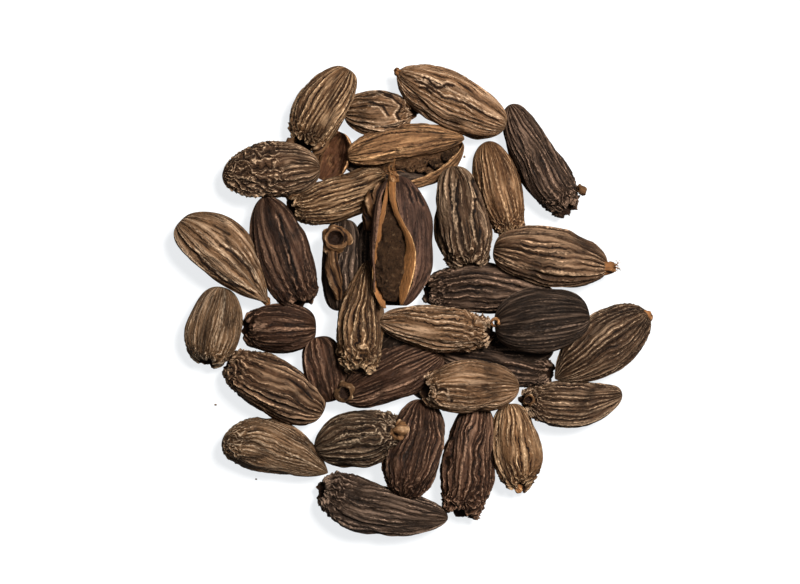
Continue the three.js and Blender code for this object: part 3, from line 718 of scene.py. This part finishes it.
# The inside colour over the hollows: on split husks the inner wall's own colour, elsewhere the deep brown,
# partly painted shade.
base = blend(given["Hollow"], base, given["Inside"])
worn = scaled(given["Fibre"], 0.36, scaled(given["Patch"], 0.42, scaled(given["Mottle"], 0.36, 0.43)))
grey = add_node(tree, "ShaderNodeCombineColor", Red=worn, Green=worn, Blue=worn).outputs[0]
feed(result["Color"], blend(1.0, base, grey, "MULTIPLY"))
feed(result["Roughness"], scaled(given["Fibre"], 0.18, 0.52))
fine_bumps = plus(plus(given["Lines"], given["Fibre"]), times(given["Mottle"], 1.5))
feed(result["Height"], plus(less(times(crests, 0.5), grooves), times(fine_bumps, 0.28)))
print("group:", tree.name, len(tree.nodes), "nodes")


# %% Materials of the pods
BUMP_HEIGHT = 0.0004


def husk_material(name, groove, skin, crest, rubbed, bump=0.8, inside=HOLLOW_SHADE_BROWN):
    """A husk skin in three colours, whose places come from the mesh's own relief."""
    material = bpy.data.materials.new(name)
    material.use_nodes = True
    tree = material.node_tree
    shader = tree.nodes["Principled BSDF"]

    def carried(label, output):
        """What the mesh carries under a name."""
        return add_node(tree, "ShaderNodeAttribute", {"attribute_name": label.lower()}).outputs[output]

    fibres = place_group(tree, fibre_group, Grain=carried("Grain", "Vector"))
    inputs = {label: fibres[label] for label in FIBRE_OUTPUTS}
    inputs |= {label: carried(label, "Fac") for label in FACTS}
    inputs |= {label: carried(label, "Vector") for label in WAVES}
    inputs |= {"Groove": groove, "Skin": skin, "Crest": crest, "Inside": inside, "Rubbed": rubbed}
    look = place_group(tree, colour_group, **inputs)
    relief = add_node(tree, "ShaderNodeBump", Height=look["Height"], Strength=bump, Distance=BUMP_HEIGHT)
    feed(shader.inputs["Base Color"], look["Color"])
    feed(shader.inputs["Roughness"], look["Roughness"])
    feed(shader.inputs["Normal"], relief.outputs["Normal"])
    shader.inputs["Specular IOR Level"].default_value = 0.10
    return material


# Groove colours are near black, partly the husk's own colour and partly painted shade; crest colours are pale,
# partly rubbed wear and partly painted highlight.
SKINS = {
    "tan_pods": husk_material("tan husk", srgb(24, 12, 4), srgb(92, 66, 44), srgb(184, 156, 128), 0.9),
    "golden_pods": husk_material("golden husk", srgb(22, 10, 4), srgb(80, 56, 35), srgb(177, 147, 114), 0.9),
    "brown_pods": husk_material("brown husk", srgb(17, 8, 3), srgb(60, 42, 28), srgb(167, 140, 113), 0.9),
    "russet_pods": husk_material("russet husk", srgb(14, 6, 2), srgb(47, 30, 20), srgb(141, 113, 93), 0.75),
    "dark_pods": husk_material("dark husk", srgb(12, 5, 2), srgb(39, 28, 20), srgb(137, 114, 97), 0.75),
}
print("materials:", [m.name for m in SKINS.values()])

# %% Make the pods
for kind, (group_name, rows) in enumerate(KINDS.items()):
    parts = [pod_arrays(pod, 3.0 + 1.7 * number + 23.0 * kind) for number, pod in enumerate(rows.values())]
    make_piece(group_name, parts, SKINS[group_name])

# %% [markdown]
# ## Split pods
#
# Three husks lie open: one pod split along its top, one split in two with its seeds showing, and an
# empty scrap. Such a husk is a shell, a skin outside and a smooth wall inside. A Solidify modifier
# could thicken a surface, but its edge would be even all along. Here each ring runs along the skin,
# over the edge and back along the wall, so the free edges can be pale, uneven and a little frilled.


# %% Open husks
def loop_quads(rows, columns):
    """Quads of a shell whose rings run out over columns and back over as many, closed at both ends."""
    there = np.arange(columns - 1)
    back = 2 * columns - 1 - there
    start = np.stack([there, back, back - 1, there + 1], axis=-1)
    stop = np.stack([there, there + 1, back - 1, back], axis=-1) + (rows - 1) * 2 * columns
    return np.concatenate([grid_quads(rows, 2 * columns), start, stop])


def there_and_back(there, back):
    """Arrays of one side of a shell joined to those of its other side, which run back."""
    return np.concatenate([there, back[:, ::-1]], axis=1)


def shell_arrays(shell, seed, sweep, wall, frill, tear, crumple=0.0):
    """A husk open along its length; sweep rows are (share along it, first and last degree round it)."""
    length = axis_of(shell)[3]
    table = np.array(sweep, float)
    widest = (table[:, 2] - table[:, 1]).max() / 360
    rows, columns = int(length / 0.34 * FINE), int(shell["width"] * 7.2 * widest * FINE)
    share = ring_shares(np.linspace(0.05, 0.93, rows))
    first, last = (np.interp(share, table[:, 0], table[:, k])[:, None] for k in (1, 2))
    across = np.linspace(0, 1, columns)[None, :]
    share = np.repeat(share[:, None], columns, axis=1)
    along = share * length
    ragged = noise(xyz(along * 0.35, across, 0), seed + 2.0)
    angle = np.radians(first + (last - first) * across + tear * ragged * (2 * across - 1))
    reach = radius_at(shell, share)
    calm = smooth(0.0, 0.42, reach / (shell["width"] / 2))
    spots, radial, plain, facts = skin_of(shell, angle, share, reach, calm, seed)
    edge = smooth(0.10, 0.0, np.minimum(across, 1 - across))
    ruffle = edge * frill * 1.6 * noise(xyz(along * 0.30, across * 4, 0), seed + 2.1)
    folds = noise(plain * 0.42, seed + 2.2)
    sunk = wall * (1 - 0.45 * edge) - ruffle + crumple * (1 - edge) * (0.6 + folds)
    tip = smooth(0.965, 0.995, 1 - np.minimum(across, 1 - across))
    rim = np.maximum(0.7 * tip, crumple * 0.5 * smooth(0.05, 0.5, -folds))
    facts |= {"pale": np.maximum(facts["pale"], 0.9 * tip), "dark": facts["dark"] * (1 - tip)}
    lined = {"ridge": facts["ridge"] * 0.4, "hollow": 1 - rim, "pale": np.maximum(facts["pale"], rim)}
    facts = {key: there_and_back(value, lined.get(key, value)) for key, value in facts.items()}
    spots = there_and_back(spots + radial * ruffle[..., None], plain - radial * sunk[..., None])
    return flat(spots, loop_quads(rows, columns), facts)


SPLIT = {
    "centre_open": row(-5.0, 37.2, -6.0, -2.1, 18.4, 0.5, 0.5, 0.34, 18, 0.2, 0.4, 0.0,
        shade="rusty", bend=1.5, lift=(4.4, 5.4)),
    "upper_half": row(15.0, 48.6, -20.4, 43.2, 10.8, 0.5, 0.7, 0.4, 14, 0.34, 0.4, 0.1,
        shade="dusty", bend=-1.2, lift=(3.6, 2.6)),
    "lower_half": row(14.4, 47.6, -6.0, 36.0, 10.8, 0.5, 0.5, 0.45, 15, 0.22, 0.4, 0.0,
        shade="dusty", bend=1.2, lift=(0.4, 0.2)),
    "empty_scrap": row(-21.8, 50.4, -28.2, 36.0, 11.4, 0.5, 0.5, 0.45, 14, 0.3, 0.8, 0.3,
        shade="foxy", lift=(0.5, 0.5)),
}
OPEN_SWEEP = (
    (0, 118, 478), (0.06, 118, 478), (0.11, 140, 465), (0.30, 134, 455), (0.40, 137, 443), (0.50, 140, 431),
    (0.70, 151, 422), (0.83, 158, 417), (0.93, 160, 423), (1, 160, 424),
)
HALF_SWEEPS = {"upper_half": ((0, -5, 195), (1, -5, 195)), "lower_half": ((0, -160, 60), (1, -160, 60))}
SCRAP_SWEEP = ((0, -205, 25), (1, -205, 25))
split_skin = husk_material(
    "split husk", srgb(18, 10, 5), srgb(84, 58, 37), srgb(172, 134, 94), 0.8, inside=srgb(74, 46, 29)
)
plum_skin = husk_material(
    "plum husk", srgb(22, 14, 11), srgb(60, 43, 35), srgb(112, 86, 70), 0.6, inside=srgb(48, 29, 20)
)
parts = [
    shell_arrays(SPLIT[name], 141.7 + 1.7 * k, sweep, 0.6, 0.4, 6.0)
    for k, (name, sweep) in enumerate(HALF_SWEEPS.items())
]
parts.append(shell_arrays(SPLIT["empty_scrap"], 145.1, SCRAP_SWEEP, 0.6, 0.9, 16.0, crumple=0.9))
make_piece("split_husks", parts, split_skin)
parts = [shell_arrays(SPLIT["centre_open"], 140.0, OPEN_SWEEP, 0.9, 0.15, 2.5)]
make_piece("open_husk", parts, plum_skin)

# %% [markdown]
# Between the halves of the open pod stand two thin inner walls, smooth and golden, with a painted
# highlight along both edges. They could be cut out of the husk, but they bend in their own way, so
# each is a strip between two measured edges, bulging up between them. The rows give y, the x of the
# two edges, and how much lower the second edge lies than the husk's edge.


# %% Inner walls of the open pod
def spread_rows(table, count):
    """Rows of a table drawn out smoothly to a count, close to all of them."""
    table = np.array(table, float)
    place, numbers = np.linspace(0, len(table) - 1, count), np.arange(len(table))
    plain = np.stack([np.interp(place, numbers, column) for column in table.T], axis=-1)
    for _ in range(int(count / len(table))):
        plain[1:-1] = (plain[:-2] + 2 * plain[1:-1] + plain[2:]) / 4
    return plain


def husk_top(x, y):
    """Height in mm of the open pod's outside over a place, for x and y arrays."""
    shell = SPLIT["centre_open"]
    at, _, _, length = axis_of(shell)
    share = np.clip((shell["heel"][1] - y) / length, 0.01, 0.99)
    middle, reach = at(share), radius_at(shell, share)
    beside = x + MIDDLE[0] - middle[:, 0]
    return middle[:, 2] + POD_DEPTH * np.sqrt(np.clip(reach ** 2 - beside ** 2, 4.0, None))


def wall_strip(table, seed):
    """A thin strip from rows of y, husk edge x, free edge x and drop, with painted highlight on both edges."""
    rows, columns, wall, bulge = int(90 * FINE), 14, 0.5, 0.30
    y, outer, inner, drop = spread_rows(table, rows).T
    top = husk_top(outer, y) + 0.35
    near, far = xyz(outer + MIDDLE[0], y, top), xyz(inner + MIDDLE[0], y, top - drop)
    across = np.linspace(0, 1, columns)[None, :]
    spots = mix(near[:, None], far[:, None], across[..., None])
    spots[..., 2] += bulge * np.sin(np.pi * across)
    spots += 0.12 * np.stack([noise(spots * 0.45, seed + k) for k in (0.1, 0.2, 0.3)], axis=-1)
    along = np.gradient(spots, axis=0)
    way = np.cross(along, np.gradient(spots, axis=1))
    way /= np.linalg.norm(way, axis=-1, keepdims=True) + 1e-9
    way *= np.sign(way[..., 2:3].mean()) or 1
    run = np.cumsum(np.linalg.norm(along, axis=-1), axis=0)
    # Both edges get a painted highlight: a paler colour and a higher ridge value.
    edge = np.maximum(smooth(0.12, 0.0, across), smooth(0.88, 1.0, across))
    grain = xyz(across * 5, 0, run * 0.16) + seed * 7.7
    facts = facts_of(run.shape, {"tone": 1.0, "warm": 0.2}, 0.5 + 0.3 * edge, 0.0, 0.75 * edge, grain)
    facts = {key: there_and_back(value, value) for key, value in facts.items()}
    spots = there_and_back(spots + way * wall / 2, spots - way * wall / 2)
    return flat(spots, loop_quads(rows, columns), facts)


EAST_WALL = (
    (38.2, -6.2, -6.9, 0.0), (36.0, -5.8, -7.7, 0.1), (33.0, -5.9, -7.8, 0.2), (30.0, -5.9, -7.4, 0.4),
    (27.0, -5.3, -6.7, 0.6), (24.0, -4.0, -5.3, 0.8), (21.0, -2.4, -3.8, 1.0), (18.0, -0.7, -2.7, 1.4),
    (14.5, 0.2, -2.6, 2.0), (10.5, 0.1, -3.8, 2.4), (6.0, -0.8, -4.5, 2.6), (2.4, -2.0, -4.6, 1.8),
    (0.2, -2.9, -4.5, 0.9), (-1.4, -3.9, -4.4, 0.1),
)
WEST_WALL = (
    (37.8, -7.5, -7.0, 0.0), (35.6, -8.1, -7.2, 0.1), (33.0, -8.6, -7.6, 0.2), (28.5, -9.6, -8.6, 0.4),
    (22.5, -10.7, -9.6, 0.5), (16.5, -11.7, -10.5, 0.7), (10.5, -12.6, -10.9, 1.0), (4.5, -12.7, -10.1, 1.3),
    (1.2, -11.9, -9.3, 1.1), (-1.0, -10.7, -8.9, 0.5), (-2.4, -9.4, -8.8, 0.1),
)
wall_skin = husk_material(
    "golden inner wall", srgb(66, 41, 21), srgb(114, 76, 43), srgb(192, 152, 104), 1.0, bump=0.6
)
parts = [wall_strip(EAST_WALL, 160.0), wall_strip(WEST_WALL, 161.0)]
make_piece("inner_walls", parts, wall_skin)

# %% [markdown]
# Black cardamom seeds are about three millimetres long, dark and angular, and stick together in a
# crumbly mass. A seed could be a sphere, but it would look moulded. Each is a ball of corners
# pressed flat by a few random planes and then roughened. Both split pods also show a whole mass of
# seeds, sunk between their walls, as a lumpy body with small crumbs all over.


# %% Seeds
def seed_arrays(x, y, z, size, tone, seed):
    """One angular seed: a closed ball in rings, pressed flat on random sides."""
    draw = np.random.default_rng(int(seed * 100))
    rows, columns = int(26 * FINE), int(36 * FINE) // 2 * 2
    levels, turns = np.linspace(0.06, 3.08, rows), np.arange(columns) * TURN / columns
    down, angle = np.meshgrid(levels, turns, indexing="ij")
    way = xyz(np.sin(down) * np.cos(angle), np.sin(down) * np.sin(angle), np.cos(down))
    reach = np.full(down.shape, 1.0)
    for _ in range(9):
        side = draw.normal(size=3)
        facing = np.clip(way @ (side / np.linalg.norm(side)), 0.05, 1)
        reach = np.minimum(reach, draw.uniform(0.74, 0.92) / facing)
    pits = noise(way * 3.2 + seed, seed)
    spots = way * (reach * (1 + 0.05 * pits))[..., None] * size * np.array([1, 0.85, 0.8])
    spots = spots + np.array([x + MIDDLE[0], y + MIDDLE[1], z])
    # Pale on the bumps and dark in the dents: partly the seed's own mottle, partly painted highlight and
    # painted shade.
    ridge, dark, pale = smooth(-0.4, 0.5, pits), smooth(-0.1, -0.6, pits), smooth(0.25, 0.7, pits) * 0.6
    grain = way * size * np.array([1.4, 1.4, 0.4])
    facts = facts_of(down.shape, {"tone": tone, "warm": 0.1}, ridge, dark, pale, grain)
    return close_ends(flat(spots, grid_quads(rows, columns), facts), columns)


MASS_NOISES = ((0.36, 0.1), (0.95, 0.2), (1.9, 0.3))  # how fine, and its shift


def mass_arrays(pod, seed):
    """The seed mass of a split pod: a long body covered in lumps and crumbs."""
    at, _, left, length = axis_of(pod)
    rows, columns = int(length / 0.30 * FINE), int(pod["width"] * 8.6 * FINE) // 2 * 2
    angle, share = np.meshgrid(ring_angles(columns), ring_shares(np.linspace(0.012, 0.985, rows)))
    radial = ways_out(left, angle)
    spots = at(share) + radial * radius_at(pod, share)[..., None]
    lumps, crumbs, specks = (noise(spots * scale, seed + shift) for scale, shift in MASS_NOISES)
    spots = spots + radial * (0.9 * lumps + 0.42 * crumbs + 0.2 * specks)[..., None]
    # Pale on the lumps and dark between them: partly the seeds' own mottle, partly painted highlight and
    # painted shade.
    rise = 0.5 + 0.6 * crumbs + 0.4 * specks
    ridge, dark, pale = np.clip(rise, 0, 1), smooth(0.35, -0.2, rise), smooth(0.75, 1.2, rise)
    facts = facts_of(share.shape, pod, ridge, dark, pale, spots * np.array([1.6, 1.6, 0.4]))
    return close_ends(flat(spots, grid_quads(rows, columns), facts), columns)


LOOSE_SEEDS = (  # x, y, z, half length, tone
    (6.0, 41.1, 6.9, 2.0, 1.1), (9.7, 43.3, 7.2, 1.9, 1.0), (1.6, 39.7, 6.7, 1.7, 2.2),
    (4.2, 38.8, 6.0, 1.5, 2.4), (-1.2, 39.3, 6.3, 1.5, 2.3), (12.0, 44.6, 6.8, 1.4, 1.2),
    (2.8, 42.2, 6.3, 1.7, 1.5), (-3.6, 40.6, 6.1, 1.5, 1.4), (7.6, 40.2, 5.6, 1.4, 2.0),
)
# The seed mass lies in the shell's shadow; its lighter shade partly lifts it out of that shadow as painted
# light.
SPLIT_MASS = row(13.6, 45.6, -17.5, 41.4, 9.6, 0.5, 0.5, 0.5, shade="painted_light", bend=-0.4, lift=(0.4, 0.4))
OPEN_MASS = row(-6.7, 33.5, -7.0, -0.6, 12.4, 0.52, 0.52, 0.42, bend=0.4, lift=(8.2, 9.0))
crust = husk_material("seed crust", srgb(20, 12, 7), srgb(66, 46, 30), srgb(142, 112, 82), 0.9, bump=1.9)
parts = [seed_arrays(*place, 180.0 + 1.3 * number) for number, place in enumerate(LOOSE_SEEDS)]
parts += [mass_arrays(OPEN_MASS, 195.0), mass_arrays(SPLIT_MASS, 197.0)]
make_piece("seeds", parts, crust)

# %% [markdown]
# Stalk ends, tufts of fibre, torn curls and crumbs are all small tubes. Blender's curves with a
# bevel could make them, but here they carry the same facts as the skin, so one function strings
# rings along a path. A tube that turns back inside at its end is a hollow stub, whose inside takes
# a deep brown that is partly painted shade.


# %% Tubes
def tube_arrays(centres, radii, seed, sides, uneven, way=None, hollow_from=None, tone=1.0, warm=0.3, steps=8):
    """A closed tube through centres in mm; way sets its rings' axis; past hollow_from, partly painted shade.
    """
    table = [(*np.add(c[:2], MIDDLE), c[2], r) for c, r in zip(centres, radii)]
    table = spread_rows(table, max(6, int((len(centres) - 1) * steps * FINE)))
    if way is None:
        ways = np.gradient(table[:, :3], axis=0)
    else:
        ways = np.repeat(np.array([way], float), len(table), axis=0)
    ways /= np.linalg.norm(ways, axis=1, keepdims=True) + 1e-9
    side = np.cross(ways, [0.21, 0.93, 0.3])
    side /= np.linalg.norm(side, axis=1, keepdims=True) + 1e-9
    over = np.cross(ways, side)
    spin, step = np.meshgrid(np.arange(sides) * TURN / sides, np.arange(len(table)))
    ribs = noise(xyz(np.cos(spin) * 1.3, np.sin(spin) * 1.3, step * 0.12), seed)
    reach = table[:, 3:4] * (1 + uneven * 2.2 * ribs)
    spots = table[:, None, :3] + side[:, None] * (np.cos(spin) * reach)[..., None]
    spots = spots + over[:, None] * (np.sin(spin) * reach)[..., None]
    hollow = 0.0 if hollow_from is None else smooth(-0.02, 0.06, step / len(table) - hollow_from)
    # Pale on the ribs and dark between them: partly the fibre's own colour, partly painted highlight and
    # painted shade.
    ridge, dark, pale = 0.5 + 0.5 * ribs, smooth(-0.05, -0.5, ribs), smooth(0.15, 0.6, ribs) * 0.7
    grain = xyz(np.cos(spin) * 1.5, np.sin(spin) * 1.5, step * 0.1) + seed * 3.3
    facts = facts_of(spin.shape, {"tone": tone, "warm": warm}, ridge, dark, pale, grain, hollow)
    return close_ends(flat(spots, grid_quads(len(table), sides), facts), sides)


def tuft(middle, way, count, reach, seed):
    """Paths of fine hairs that fan out from a stalk end and curl; way is in half turns from the right."""
    draw = np.random.default_rng(seed)
    paths = []
    for _ in range(count):
        heading = math.pi * (way + draw.uniform(-0.55, 0.55))
        curl, spot, path = draw.uniform(-1.1, 1.1), np.array(middle, float) + draw.uniform(-0.5, 0.5, 3), []
        for step in range(6):
            path.append(tuple(spot))
            ahead = np.array([math.cos(heading), math.sin(heading), 0.30 - 0.16 * step])
            spot = spot + reach / 5 * draw.uniform(0.7, 1.2) * ahead
            heading += curl
            curl *= 0.9
        paths.append(path)
    return paths


# %% Stalks and tufts
STALKS = (  # path, radii, tone
    (((-45.4, 0.6, 7.0), (-44.4, -0.6, 6.9), (-43.8, -1.2, 6.6)), (1.3, 1.0, 0.6), 1.0),
    (((68.2, -4.2, 7.6), (70.0, -5.3, 7.8), (71.0, -5.6, 7.6)), (1.9, 1.6, 1.2), 1.0),
    (((31.2, -55.4, 5.6), (31.1, -56.8, 5.5), (31.2, -58.0, 5.2)), (1.2, 1.0, 0.7), 1.1),
    (((29.0, 20.8, 7.6), (29.6, 19.6, 7.8), (30.0, 18.8, 7.7)), (1.6, 1.3, 0.9), 0.9),
    (((56.2, 9.8, 7.6), (58.0, 9.6, 8.0), (60.0, 9.8, 7.6)), (2.3, 2.0, 1.2), 0.9),
    (((-6.2, 35.4, 14.8), (-6.3, 37.2, 15.6), (-6.4, 38.4, 15.8)), (1.5, 1.3, 0.7), 0.9),
    (((-3.6, 67.4, 7.2), (-5.2, 68.6, 7.2), (-6.0, 69.4, 7.0)), (1.6, 1.1, 0.5), 0.8),
)
TUFTS = (((59.2, 9.8, 7.9), 0.0, 12, 3.6), ((-6.3, 37.8, 15.8), 0.75, 16, 4.4))
HAIR = (0.13, 0.12, 0.11, 0.09, 0.08, 0.05)
LOOP = [
    (23.7 + 1.15 * math.cos(a), -6.6 + 1.15 * math.sin(a), 19.2 - 0.25 * a)
    for a in np.linspace(-0.6, 4.9, 9)
]
parts = [
    tube_arrays(path, radii, 210.0 + k, 16, 0.24, tone=tone)
    for k, (path, radii, tone) in enumerate(STALKS)
]
for k, place in enumerate(TUFTS):
    for number, path in enumerate(tuft(*place, 300 + k)):
        parts.append(tube_arrays(path, HAIR, 230.0 + 20 * k + number, 6, 0.1, tone=1.3, warm=0.0, steps=3))
parts.append(tube_arrays(LOOP, [0.55] + [0.42] * 7 + [0.3], 240.0, 8, 0.15, tone=1.2, steps=4))
stalk_skin = husk_material("stalk fibre", srgb(44, 26, 14), srgb(116, 78, 46), srgb(196, 156, 112), 0.9)
make_piece("stalks_and_tufts", parts, stalk_skin)

# %% Hollow stubs, flaps, lumps and crumbs
TUBE = (
    (-23.4, 17.6, 8.0), (-23.6, 18.2, 10.0), (-23.7, 18.5, 11.6), (-23.75, 18.6, 12.2),
    (-23.75, 18.6, 12.1), (-23.7, 18.5, 11.2), (-23.6, 18.3, 9.8),
)
KNOB = (
    (-19.4, -27.2, 6.4), (-20.8, -27.7, 9.6), (-21.4, -27.9, 11.2), (-21.1, -27.9, 11.6),
    (-20.5, -27.8, 11.1), (-19.9, -27.6, 9.8),
)
CURL = (
    (34.6, -30.2, 7.0), (34.2, -30.0, 8.4), (34.0, -29.9, 9.3), (34.0, -29.9, 9.5),
    (34.1, -29.9, 9.0), (34.2, -30.0, 8.2),
)
TUBE_FLAP = ((-25.0, 14.6, 10.6), (-24.4, 9.0, 11.2), (-23.4, 4.0, 10.8), (-22.9, 0.2, 8.8))
LUMP = ((-5.8, -38.6, 13.0), (-4.4, -39.2, 14.2), (-3.4, -39.8, 13.4))
LONG_FLAP = ((-12.0, 32.6, 11.6), (-13.0, 29.4, 11.8), (-13.8, 25.4, 11.0), (-14.2, 21.0, 9.4))
SHORT_FLAP = ((-10.4, 34.6, 13.0), (-11.4, 31.6, 13.6), (-12.0, 28.6, 13.0))
EAST_LUMP = ((49.2, 34.0, 6.0), (50.4, 32.7, 7.0), (50.9, 31.6, 6.4))
SCRAP_FLAP = ((-29.8, 41.4, 5.2), (-29.0, 44.8, 7.2), (-27.2, 48.2, 8.0), (-25.0, 50.4, 7.2))
WEST_LUMP = ((-37.0, 47.0, 6.0), (-37.6, 47.8, 6.6), (-38.0, 48.4, 6.2))
CRUMBS = ((15.0, 43.2, 0.32), (-60.3, -31.8, 0.34), (-48.0, -54.3, 0.28), (-20.1, -50.4, 0.34))
parts = [
    tube_arrays(TUBE, (4.6, 4.1, 3.7, 3.0, 2.3, 1.8, 1.1), 250.0, 36, 0.12, (0.05, 0.05, 1), 0.62, 1.3),
    tube_arrays(KNOB, (2.8, 3.2, 2.9, 2.0, 1.3, 0.7), 251.0, 30, 0.16, (-0.35, -0.15, 0.9), 0.62, 0.9, -0.1),
    tube_arrays(CURL, (1.9, 1.7, 1.5, 1.2, 0.9, 0.5), 252.0, 20, 0.16, (-0.2, 0.1, 1), 0.62, 1.0),
    tube_arrays(TUBE_FLAP, (1.5, 2.1, 1.8, 0.8), 253.0, 20, 0.25, tone=1.1),
    tube_arrays(LUMP, (2.0, 2.8, 1.5), 254.0, 30, 0.36, tone=1.7, warm=0.2, steps=14),
    tube_arrays(LONG_FLAP, (1.6, 2.4, 2.2, 1.0), 257.0, 26, 0.30, tone=0.5, warm=1.2),
    tube_arrays(SHORT_FLAP, (0.9, 1.4, 0.7), 258.0, 20, 0.32, tone=0.8, warm=1.0),
    tube_arrays(EAST_LUMP, (1.0, 1.3, 0.6), 255.0, 14, 0.25, tone=0.9),
    tube_arrays(SCRAP_FLAP, (1.1, 1.7, 1.5, 0.8), 259.0, 22, 0.34, tone=0.9),
    tube_arrays(WEST_LUMP, (1.6, 1.5, 0.7), 256.0, 14, 0.3, tone=0.7),
]
for k, (x, y, size) in enumerate(CRUMBS):
    path = [(x - size, y, size * 0.7), (x, y + 0.1, size * 0.8), (x + size, y, size * 0.7)]
    parts.append(tube_arrays(path, (size * 0.5, size, size * 0.4), 260.0 + k, 10, 0.35, tone=2.4))
make_piece("hollow_stubs", parts, SKINS["golden_pods"])

# %% [markdown]
# The pods on top of the heap lean on others that only show as darkness in the gaps. A heap without
# them would be hollow from the side, so a few plainer pods lie underneath. They wear the dark husk,
# three of them in the deep shade, partly as painted shade for those gaps.

# %% Pods underneath
HIDDEN = (0.5, 0.5, 0.5, 14, 0.3, 0.6, 0.0)
UNDER = {
    "under_centre": row(-4.8, 34.0, -4.8, 2.0, 13.5, *HIDDEN),
    "under_crossing": row(2.6, -6.0, -11.6, -17.6, 13.0, *HIDDEN),
    "under_south": row(13.0, -24.0, -2.0, -25.2, 11.5, *HIDDEN),
    # These three wear the deep shade, which darkens the gaps as painted shade.
    "under_west": row(-21.5, 41.6, -11.0, 38.6, 5.6, *HIDDEN, shade="deep"),
    "under_gap": row(-14.6, 24.0, -14.4, 1.0, 9.0, *HIDDEN, shade="deep"),
    "under_tuft": row(-12.0, 37.6, 4.0, 37.0, 8.0, *HIDDEN, shade="deep"),
    "under_east": row(42.0, -13.6, 21.0, -14.8, 13.0, *HIDDEN),
}
parts = [pod_arrays(pod, 270.0 + 1.7 * k, 0.55) for k, pod in enumerate(UNDER.values())]
make_piece("pods_underneath", parts, SKINS["dark_pods"])

# %% [markdown]
# ## Floor, light and camera
#
# The pods lie on a bright white table under a large soft light, seen straight from above with a
# long lens. The table glows evenly for the camera, so that only the closest shadows show on it.

# %% Floor
HALF_TABLE = 3.0
corners = [(x * HALF_TABLE, y * HALF_TABLE, 0) for x, y in ((-1, -1), (1, -1), (1, 1), (-1, 1))]
floor_mesh = bpy.data.meshes.new("table")
floor_mesh.from_pydata(corners, [], [(0, 1, 2, 3)])
floor = bpy.data.objects.new("table", floor_mesh)
bpy.context.scene.collection.objects.link(floor)
white = bpy.data.materials.new("white table")
white.use_nodes = True
tree = white.node_tree
paper = tree.nodes["Principled BSDF"].inputs
paper["Base Color"].default_value = (0.20, 0.20, 0.20, 1)
paper["Roughness"].default_value = 0.7
paper["Specular IOR Level"].default_value = 0.1
paper["Emission Color"].default_value = (0.96, 0.98, 1.0, 1)
seen = add_node(tree, "ShaderNodeLightPath").outputs["Is Camera Ray"]
feed(paper["Emission Strength"], times(seen, 0.80))
floor_mesh.materials.append(white)
print("floor:", 2 * HALF_TABLE, "m wide")

# %% Light
world = bpy.data.worlds.new("studio")
bpy.context.scene.world = world
world.use_nodes = True
backdrop = world.node_tree.nodes["Background"].inputs
backdrop["Color"].default_value = (0.97, 0.985, 1.0, 1)
backdrop["Strength"].default_value = 0.08


def add_light(name, place, size, power, colour):
    """A square soft light aimed at the middle of the heap."""
    data = bpy.data.lights.new(name, "AREA")
    data.shape = "SQUARE"
    data.size = size
    data.energy = power
    data.color = colour
    light = bpy.data.objects.new(name, data)
    light.location = place
    light.rotation_euler = (-Vector(place)).to_track_quat("-Z", "Y").to_euler()
    bpy.context.scene.collection.objects.link(light)


add_light("soft key", (0.42, 0.36, 1.02), 0.36, 32.0, (1.0, 0.985, 0.96))
add_light("soft fill", (-0.4, 0.1, 1.3), 0.8, 2.0, (0.97, 0.985, 1.0))
bpy.context.scene.view_settings.view_transform = "Standard"

# %% Camera
VIEW_WIDTH = 0.240
VIEW_LEVEL = 0.008
CAMERA_HEIGHT = 0.90
SENSOR = 36.0
camera_data = bpy.data.cameras.new("camera")
camera_data.sensor_width = SENSOR
camera_data.lens = SENSOR * (CAMERA_HEIGHT - VIEW_LEVEL) / VIEW_WIDTH
camera = bpy.data.objects.new("camera", camera_data)
camera.location = (-0.00425, 0.00242, CAMERA_HEIGHT)
bpy.context.scene.collection.objects.link(camera)
bpy.context.scene.camera = camera
print("lens:", round(camera_data.lens, 1), "mm")
